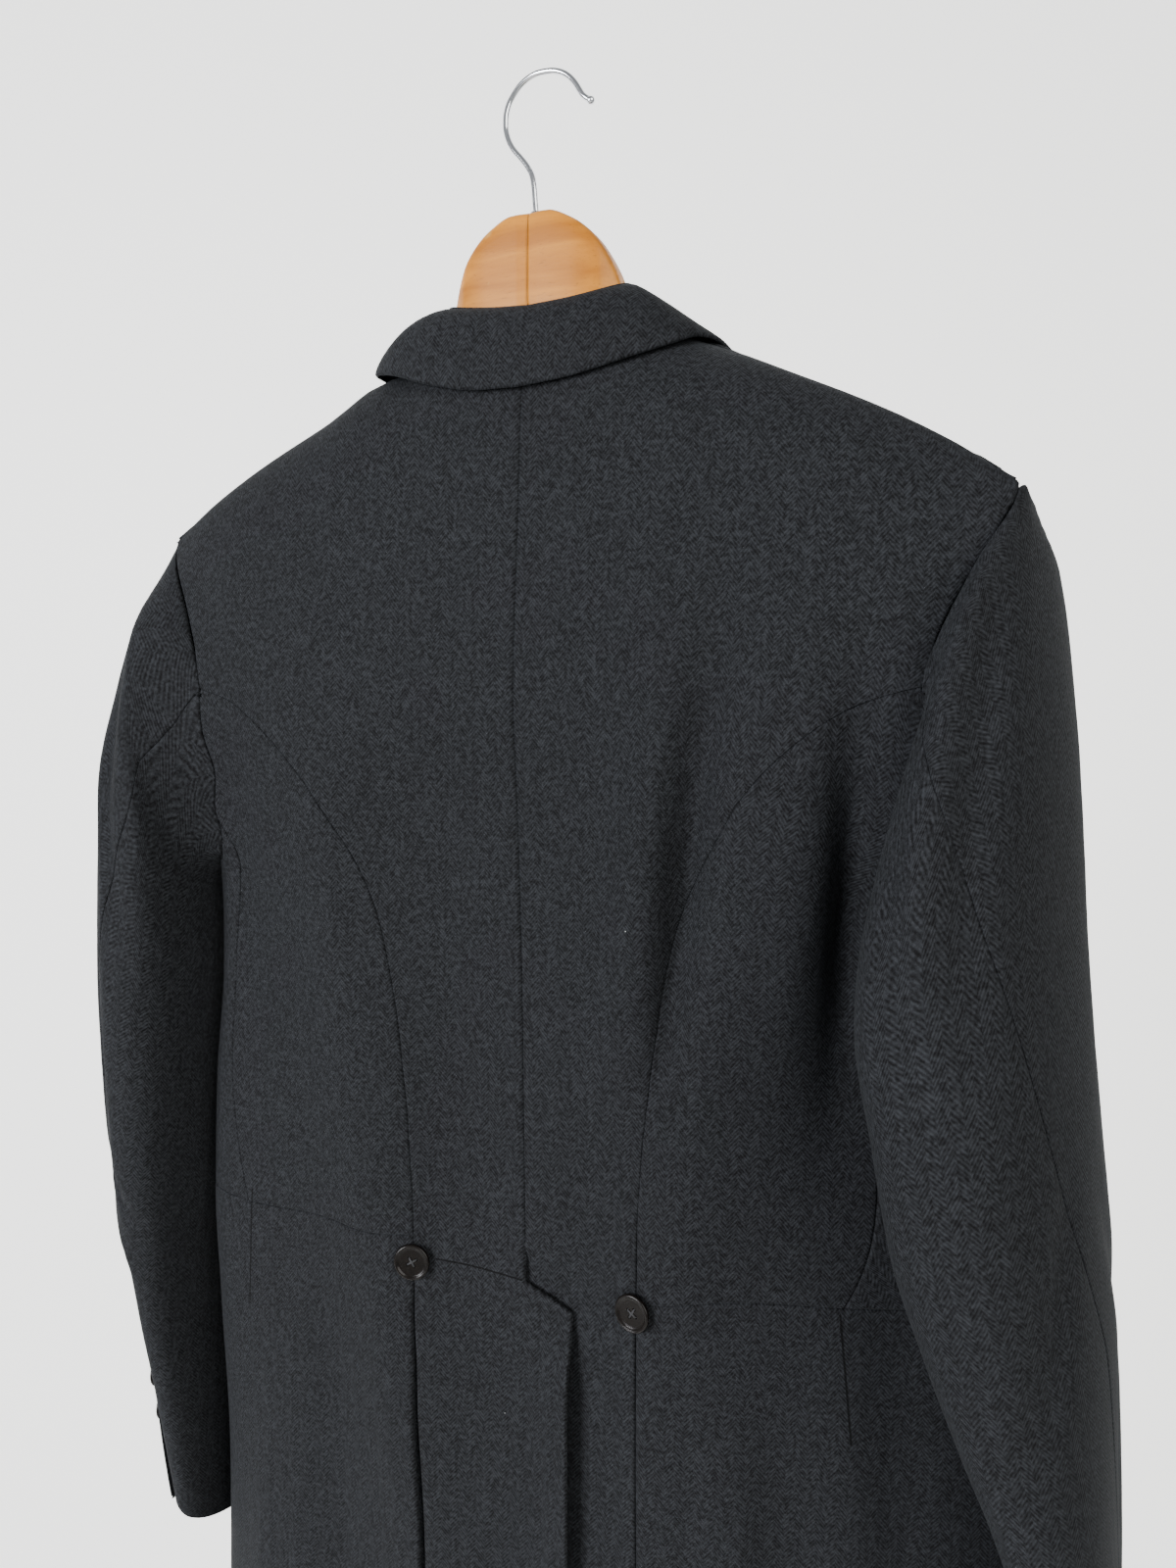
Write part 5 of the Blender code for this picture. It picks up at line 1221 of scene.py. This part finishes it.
def standGrid(alongs, shares):
    grid = []
    for along in alongs:
        fold, edge, _ = collarLine(along)
        inwards = (fold - edge) * (1.0, 1.0, 0.0)
        inwards = inwards / np.linalg.norm(inwards)
        top = fold + inwards * 0.0011
        low = neckSeam(along) + (0.0, 0.0, 0.0004)
        bow = np.sin(math.pi * shares[:, None]) * (inwards * 0.8 - (0.0, 0.0, 0.6))
        grid.append(low + (top - low) * shares[:, None] + 0.0030 * bow)
    return np.array(grid)


around = steps(-1.0, 1.0, 121)
across = np.concatenate([[0.0, 0.01, 0.025], steps(0.045, 0.955, 16), [0.975, 0.99, 1.0]])
fall = np.swapaxes(fallGrid(around, across), 0, 1)
clothPiece("collar_fall", fall, (0.0, 0.060, -0.030), 0.5, pressed=0.6)
stand = np.swapaxes(standGrid(around, across), 0, 1)
clothPiece("collar_stand", stand, (0.0, 0.300, 0.030), 0.5, pressed=0.3)
print("collar made")


# buttons with four real holes and crossed thread
def drilled(bm, name, radius, thick, holeRing):
    mesh = bpy.data.meshes.new(name)
    bm.to_mesh(mesh)
    bm.free()
    blank = bpy.data.objects.new(name, mesh)
    bpy.context.scene.collection.objects.link(blank)
    drills = bmesh.new()
    for number in range(4):
        angle = math.tau * (number + 0.5) / 4
        spot = Matrix.Translation((math.cos(angle) * holeRing, math.sin(angle) * holeRing, thick / 2))
        bmesh.ops.create_cone(drills, cap_ends=True, segments=20, radius1=0.095 * radius,
                              radius2=0.095 * radius, depth=thick * 3, matrix=spot)
    drillMesh = bpy.data.meshes.new(name + "_drills")
    drills.to_mesh(drillMesh)
    drills.free()
    drill = bpy.data.objects.new(name + "_drills", drillMesh)
    bpy.context.scene.collection.objects.link(drill)
    cut = blank.modifiers.new("holes", "BOOLEAN")
    cut.operation = "DIFFERENCE"
    cut.solver = "EXACT"
    cut.object = drill
    done = bmesh.new()
    done.from_object(blank, bpy.context.evaluated_depsgraph_get())
    for thing in (blank, drill):
        bpy.data.objects.remove(thing)
    return done


buttons = {
    "coat": 0.00975,  # radius of the waist and front buttons: 30 line
    "cuff": 0.0075,
    "number": 3,
    "first": 0.900,  # along the sleeve
    "apart": 0.034,
    "beside": 13.0,  # degrees round the sleeve from its elbow seam
    "front": -0.424,
}


def buttonPiece(name, radius, base, normal, twist=0.0):
    thick = 0.34 * radius
    edge = 0.16 * radius
    holeRing = 0.26 * radius
    bm = bmesh.new()
    outline = ((0.0, 0.0), (0.74, 0.0), (0.84, 0.03), (0.97, 0.38), (1.0, 0.55), (0.99, 0.80), (0.955, 0.95),
               (0.90, 1.0), (0.845, 0.96), (0.80, 0.84), (0.755, 0.745), (0.69, 0.70), (0.0, 0.66))
    verts = [bm.verts.new((x * radius, 0.0, z * thick)) for x, z in outline]
    edges = [bm.edges.new(pair) for pair in zip(verts, verts[1:])]
    bmesh.ops.spin(bm, geom=verts + edges, cent=(0, 0, 0), axis=(0, 0, 1), angle=math.tau, steps=56,
                   use_merge=True)
    bmesh.ops.remove_doubles(bm, verts=bm.verts, dist=1e-6)
    bmesh.ops.recalc_face_normals(bm, faces=bm.faces)
    bm = drilled(bm, name, radius, thick, holeRing)
    for face in bm.faces:
        face.smooth = abs(face.normal.z) < 0.97 and face.calc_center_median().xy.length > 0.5 * radius
    towards = Vector(normal).normalized()
    turned = towards.to_track_quat("Z", "Y").to_matrix().to_4x4()
    place = Matrix.Translation(Vector(base) + Vector(nape) + towards * 0.0006)
    seat = place @ turned @ Matrix.Rotation(twist, 4, "Z")
    bmesh.ops.transform(bm, matrix=seat, verts=bm.verts)
    finish(bm, name + "_horn", "button", (name,))
    thread = bmesh.new()
    reach = holeRing * 1.05
    for number in range(2):
        angle = math.tau * (number + 0.5) / 4
        for beside in (-0.00022, 0.00022):
            lie = Matrix.Translation((0.0, beside, thick * 0.70 + 0.0002 * number))
            lie = Matrix.Rotation(angle, 4, "Z") @ lie @ Matrix.Rotation(math.pi / 2, 4, "Y")
            bmesh.ops.create_cone(thread, cap_ends=True, segments=10, radius1=0.00026, radius2=0.00026,
                                  depth=2 * reach, matrix=lie)
    for number in range(4):
        angle = math.tau * (number + 0.5) / 4
        spot = Matrix.Translation((math.cos(angle) * reach, math.sin(angle) * reach, thick * 0.36))
        bmesh.ops.create_cone(thread, cap_ends=True, segments=10, radius1=0.00040, radius2=0.00034,
                              depth=thick * 0.72, matrix=spot)
    for face in thread.faces:
        face.smooth = True
    bmesh.ops.transform(thread, matrix=seat, verts=thread.verts)
    finish(thread, name + "_thread", "thread")


def sleeveNormal(side, along, turn):
    turned = sleevePoint(side, along, turn + 1.5) - sleevePoint(side, along, turn - 1.5)
    lower = sleevePoint(side, min(along + 0.004, 1.0), turn) - sleevePoint(side, along - 0.004, turn)
    normal = np.cross(turned, lower)
    normal = normal / np.linalg.norm(normal)
    middle = (sleeveSection(side, along, 0.0) + sleeveSection(side, along, 180.0)) / 2
    return normal * math.copysign(1.0, float(np.dot(normal, sleevePoint(side, along, turn) - middle)))


for side, word in ((-1, "left"), (1, "right")):
    z = -body["waist"] - (0.000 if side < 0 else 0.004)
    turn = float(aroundAt(side, body["pleatHalf"], z))
    buttonPiece(f"waist_button_{word}", buttons["coat"], bodyPoint(side, turn, z), bodyNormal(side, turn, z),
                0.25 * side)
    for number in range(buttons["number"]):
        along = buttons["first"] + buttons["apart"] * number
        turn = float(read(elbowLine, "along", "turn", along, side)) - buttons["beside"]
        buttonPiece(f"cuff_button_{word}_{number + 1}", buttons["cuff"], sleevePoint(side, along, turn),
                    sleeveNormal(side, along, turn), 0.3 + number)
turn = float(aroundAt(-1, 0.0, buttons["front"], True))
buttonPiece("front_button", buttons["coat"], bodyPoint(-1, turn, buttons["front"]),
            bodyNormal(-1, turn, buttons["front"]))
print("buttons made")


# hanger: two halves of one shaped board, rounded, meeting at a fine joint
def hangerPiece(side, name):
    rows = np.array(arm["rows"])
    marks = np.unique(np.concatenate([steps(0.0, len(rows) - 1, 110), [0.5, 1.5]]))
    line = np.stack([smoothCurve(np.arange(len(rows)), one, marks) for one in rows.T], axis=-1)
    angles = math.tau * (np.arange(28) + 0.5) / 28
    rings = []
    for x, top, bottom, depth in line:
        # the halves are a little chamfered where they meet, most of all at the bottom
        chamfer = max(0.0, 1.0 - x / 0.0060)
        tip = 1.0 - 0.35 * max(0.0, (x - 0.190) / 0.016)**2
        tall = (top - bottom) / 2 * tip
        thick = arm["thick"] / 2 * (1.0 - 0.10 * chamfer) * tip
        square = 0.36
        ring = []
        for angle in angles:
            lift = math.copysign(abs(math.sin(angle))**square, math.sin(angle))
            deep = math.copysign(abs(math.cos(angle))**square, math.cos(angle))
            notch = 0.0060 * chamfer if lift < 0 else 0.0003 * chamfer
            ring.append((arm["side"] + side * x, depth + deep * thick,
                         (top + bottom) / 2 + lift * (tall - notch)))
        rings.append(ring)
    bm = bmesh.new()
    bmesh.ops.create_grid(bm, x_segments=len(angles), y_segments=len(rings) - 1, size=1.0)
    bm.verts.ensure_lookup_table()
    wide = len(angles) + 1
    for number, vert in enumerate(list(bm.verts)):
        vert.co = Vector(rings[number // wide][number % wide % len(angles)]) + Vector(nape)
    bmesh.ops.remove_doubles(bm, verts=bm.verts, dist=1e-6)
    openEdges = [edge for edge in bm.edges if edge.is_boundary]
    bmesh.ops.holes_fill(bm, edges=openEdges, sides=0)
    bmesh.ops.recalc_face_normals(bm, faces=bm.faces)
    for face in bm.faces:
        face.smooth = len(face.verts) <= 4
    return finish(bm, name + "_beech", "wood", (name,))


for side, word in ((-1, "left"), (1, "right")):
    hangerPiece(side, f"hanger_{word}")


# hook: one bent wire that ends in a small knob
def hookPiece():
    rows = np.array(wire["rows"])
    marks = steps(0.0, len(rows) - 1, 170)
    line = np.stack([smoothCurve(np.arange(len(rows)), one, marks) for one in rows.T], axis=-1)
    for _ in range(6):  # the bend is even, with no corner at the table's points
        line[1:-1] = line[1:-1] * 0.5 + (line[:-2] + line[2:]) * 0.25
    centre = np.stack([wire["side"] + line[:, 0], np.full(len(line), wire["depth"]), line[:, 1]], axis=-1)
    ways = np.gradient(centre, axis=0)
    ways = ways / np.linalg.norm(ways, axis=-1, keepdims=True)
    ups = np.cross((0.0, 1.0, 0.0), ways)
    angles = math.tau * np.arange(21) / 20
    bm = bmesh.new()
    bmesh.ops.create_grid(bm, x_segments=20, y_segments=len(centre) - 1, size=1.0)
    bm.verts.ensure_lookup_table()
    for number, vert in enumerate(list(bm.verts)):
        at, turn = divmod(number, 21)
        turn = turn % 20
        out = np.array((0.0, 1.0, 0.0)) * math.cos(angles[turn]) + ups[at] * math.sin(angles[turn])
        vert.co = centre[at] + nape + out * wire["thick"] / 2
    bmesh.ops.remove_doubles(bm, verts=bm.verts, dist=1e-6)
    knob = Matrix.Translation(Vector(centre[-1] + nape))
    bmesh.ops.create_uvsphere(bm, u_segments=24, v_segments=14, radius=wire["thick"] * 0.70, matrix=knob)
    # a small collar where the wire goes into the wood
    seat = Matrix.Translation(Vector((wire["side"], wire["depth"], 0.0893)) + Vector(nape))
    bmesh.ops.create_cone(bm, cap_ends=True, segments=28, radius1=0.0031, radius2=0.0026, depth=0.0016,
                          matrix=seat)
    bmesh.ops.recalc_face_normals(bm, faces=bm.faces)
    for face in bm.faces:
        face.smooth = True
    return finish(bm, "hook_wire", "chrome", ("hook",))


hookPiece()
print("hanger made")

# pale wall and floor
# the wall stands well back, so that the coat can be seen from all round, and is lit evenly on its own
room = {"wall": "#f7f7f5", "floor": "#d4d4d2", "behind": 1.95, "half": 5.0, "glow": 1.15, "below": -2.35}
# as the photograph was taken: degrees, metres, and the lens in millimetres
shot = {"azimuth": 24.4, "pitch": 3.33, "roll": 0.45, "lens": 27.0, "place": (0.273, -0.5365, -0.316)}
azimuth, pitch, roll = (math.radians(shot[name]) for name in ("azimuth", "pitch", "roll"))
ahead = Vector((-math.sin(azimuth), math.cos(azimuth), 0.0))
across = Vector((math.cos(azimuth), math.sin(azimuth), 0.0))


# painted plaster: nearly even, with a very faint mottle
def makePaint(name, code, glow):
    material, tree, shader = newMaterial(name)
    place = addNode(tree, "TexCoord", out="Object")
    mottle = addNode(tree, "TexNoise", {"Scale": 3.0, "Detail": 5.0}, {"Vector": place}, "Fac")
    mottle = addNode(tree, "Math", {"operation": "MULTIPLY"}, {0: mottle, 1: 0.03}, 0)
    shade = addNode(tree, "Math", {"operation": "ADD"}, {0: mottle, 1: 0.985}, 0)
    colour = addNode(tree, "Mix", tint, {"Factor": 1.0, 6: hexToLinear(code), 7: shade}, 2)
    tree.links.new(colour, shader.inputs["Base Color"])
    shader.inputs["Roughness"].default_value = 0.95
    shader.inputs["Specular IOR Level"].default_value = 0.1
    shader.inputs["Emission Color"].default_value = hexToLinear(code)
    shader.inputs["Emission Strength"].default_value = glow
    return material


def stagePlane(name, size, matrix, code, glow):
    bm = bmesh.new()
    bmesh.ops.create_grid(bm, x_segments=1, y_segments=1, size=size, matrix=matrix)
    mesh = bpy.data.meshes.new(name)
    bm.to_mesh(mesh)
    bm.free()
    mesh.materials.append(makePaint(name + " paint", code, glow))
    plane = bpy.data.objects.new(name, mesh)
    bpy.context.scene.collection.objects.link(plane)
    plane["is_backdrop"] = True
    return plane


wallPlace = ahead * room["behind"] + Vector((0.0, 0.0, room["below"] + room["half"]))
upright = Matrix((across, Vector((0.0, 0.0, 1.0)), -ahead)).transposed().to_4x4()
stagePlane("wall", room["half"], Matrix.Translation(wallPlace) @ upright, room["wall"], room["glow"])
stagePlane("floor", room["half"], Matrix.Translation((0.0, 0.0, room["below"])), room["floor"], 0.0)

# two soft lamps on the camera's side, and a pale room all round
lamps = (
    {"name": "window", "energy": 215.0, "size": 1.4, "colour": "#fbfbff",
     "place": -2.5, "near": 1.9, "high": -0.1},
    {"name": "ceiling", "energy": 105.0, "size": 2.4, "colour": "#fffdf8",
     "place": 1.5, "near": 2.4, "high": 0.45},
)
for lamp in lamps:
    light = bpy.data.lights.new(lamp["name"], "AREA")
    light.energy = lamp["energy"]
    light.size = lamp["size"]
    light.color = hexToLinear(lamp["colour"])[:3]
    holder = bpy.data.objects.new(lamp["name"], light)
    bpy.context.scene.collection.objects.link(holder)
    holder.location = across * lamp["place"] - ahead * lamp["near"] + Vector((0.0, 0.0, lamp["high"]))
    aim = Vector((0.0, 0.0, -0.6)) - holder.location
    holder.rotation_euler = aim.to_track_quat("-Z", "Y").to_euler()
world = bpy.data.worlds.new("pale room")
bpy.context.scene.world = world
world.use_nodes = True
world.node_tree.nodes["Background"].inputs["Color"].default_value = hexToLinear("#e9ebee")
world.node_tree.nodes["Background"].inputs["Strength"].default_value = 0.50

# camera
camera = bpy.data.objects.new("camera", bpy.data.cameras.new("camera"))
bpy.context.scene.collection.objects.link(camera)
camera.data.lens = shot["lens"]
camera.data.sensor_width = 36.0
up = Vector((0.0, 0.0, 1.0))
look = ahead * math.cos(pitch) - up * math.sin(pitch)
top = up * math.cos(pitch) + ahead * math.sin(pitch)
right = across * math.cos(roll) + top * math.sin(roll)
top = top * math.cos(roll) - across * math.sin(roll)
camera.matrix_world = Matrix.Translation(shot["place"]) @ Matrix((right, top, -look)).transposed().to_4x4()
bpy.context.scene.camera = camera
print("stage, light and camera set")

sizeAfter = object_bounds()


def plain(value):
    if isinstance(value, dict):
        return {key: plain(one) for key, one in value.items()}
    if isinstance(value, (list, tuple, np.ndarray, Vector)):
        return [plain(one) for one in value]
    return float(value) if not isinstance(value, str) else value


{"before": plain(sizeBefore), "after": plain(sizeAfter)}
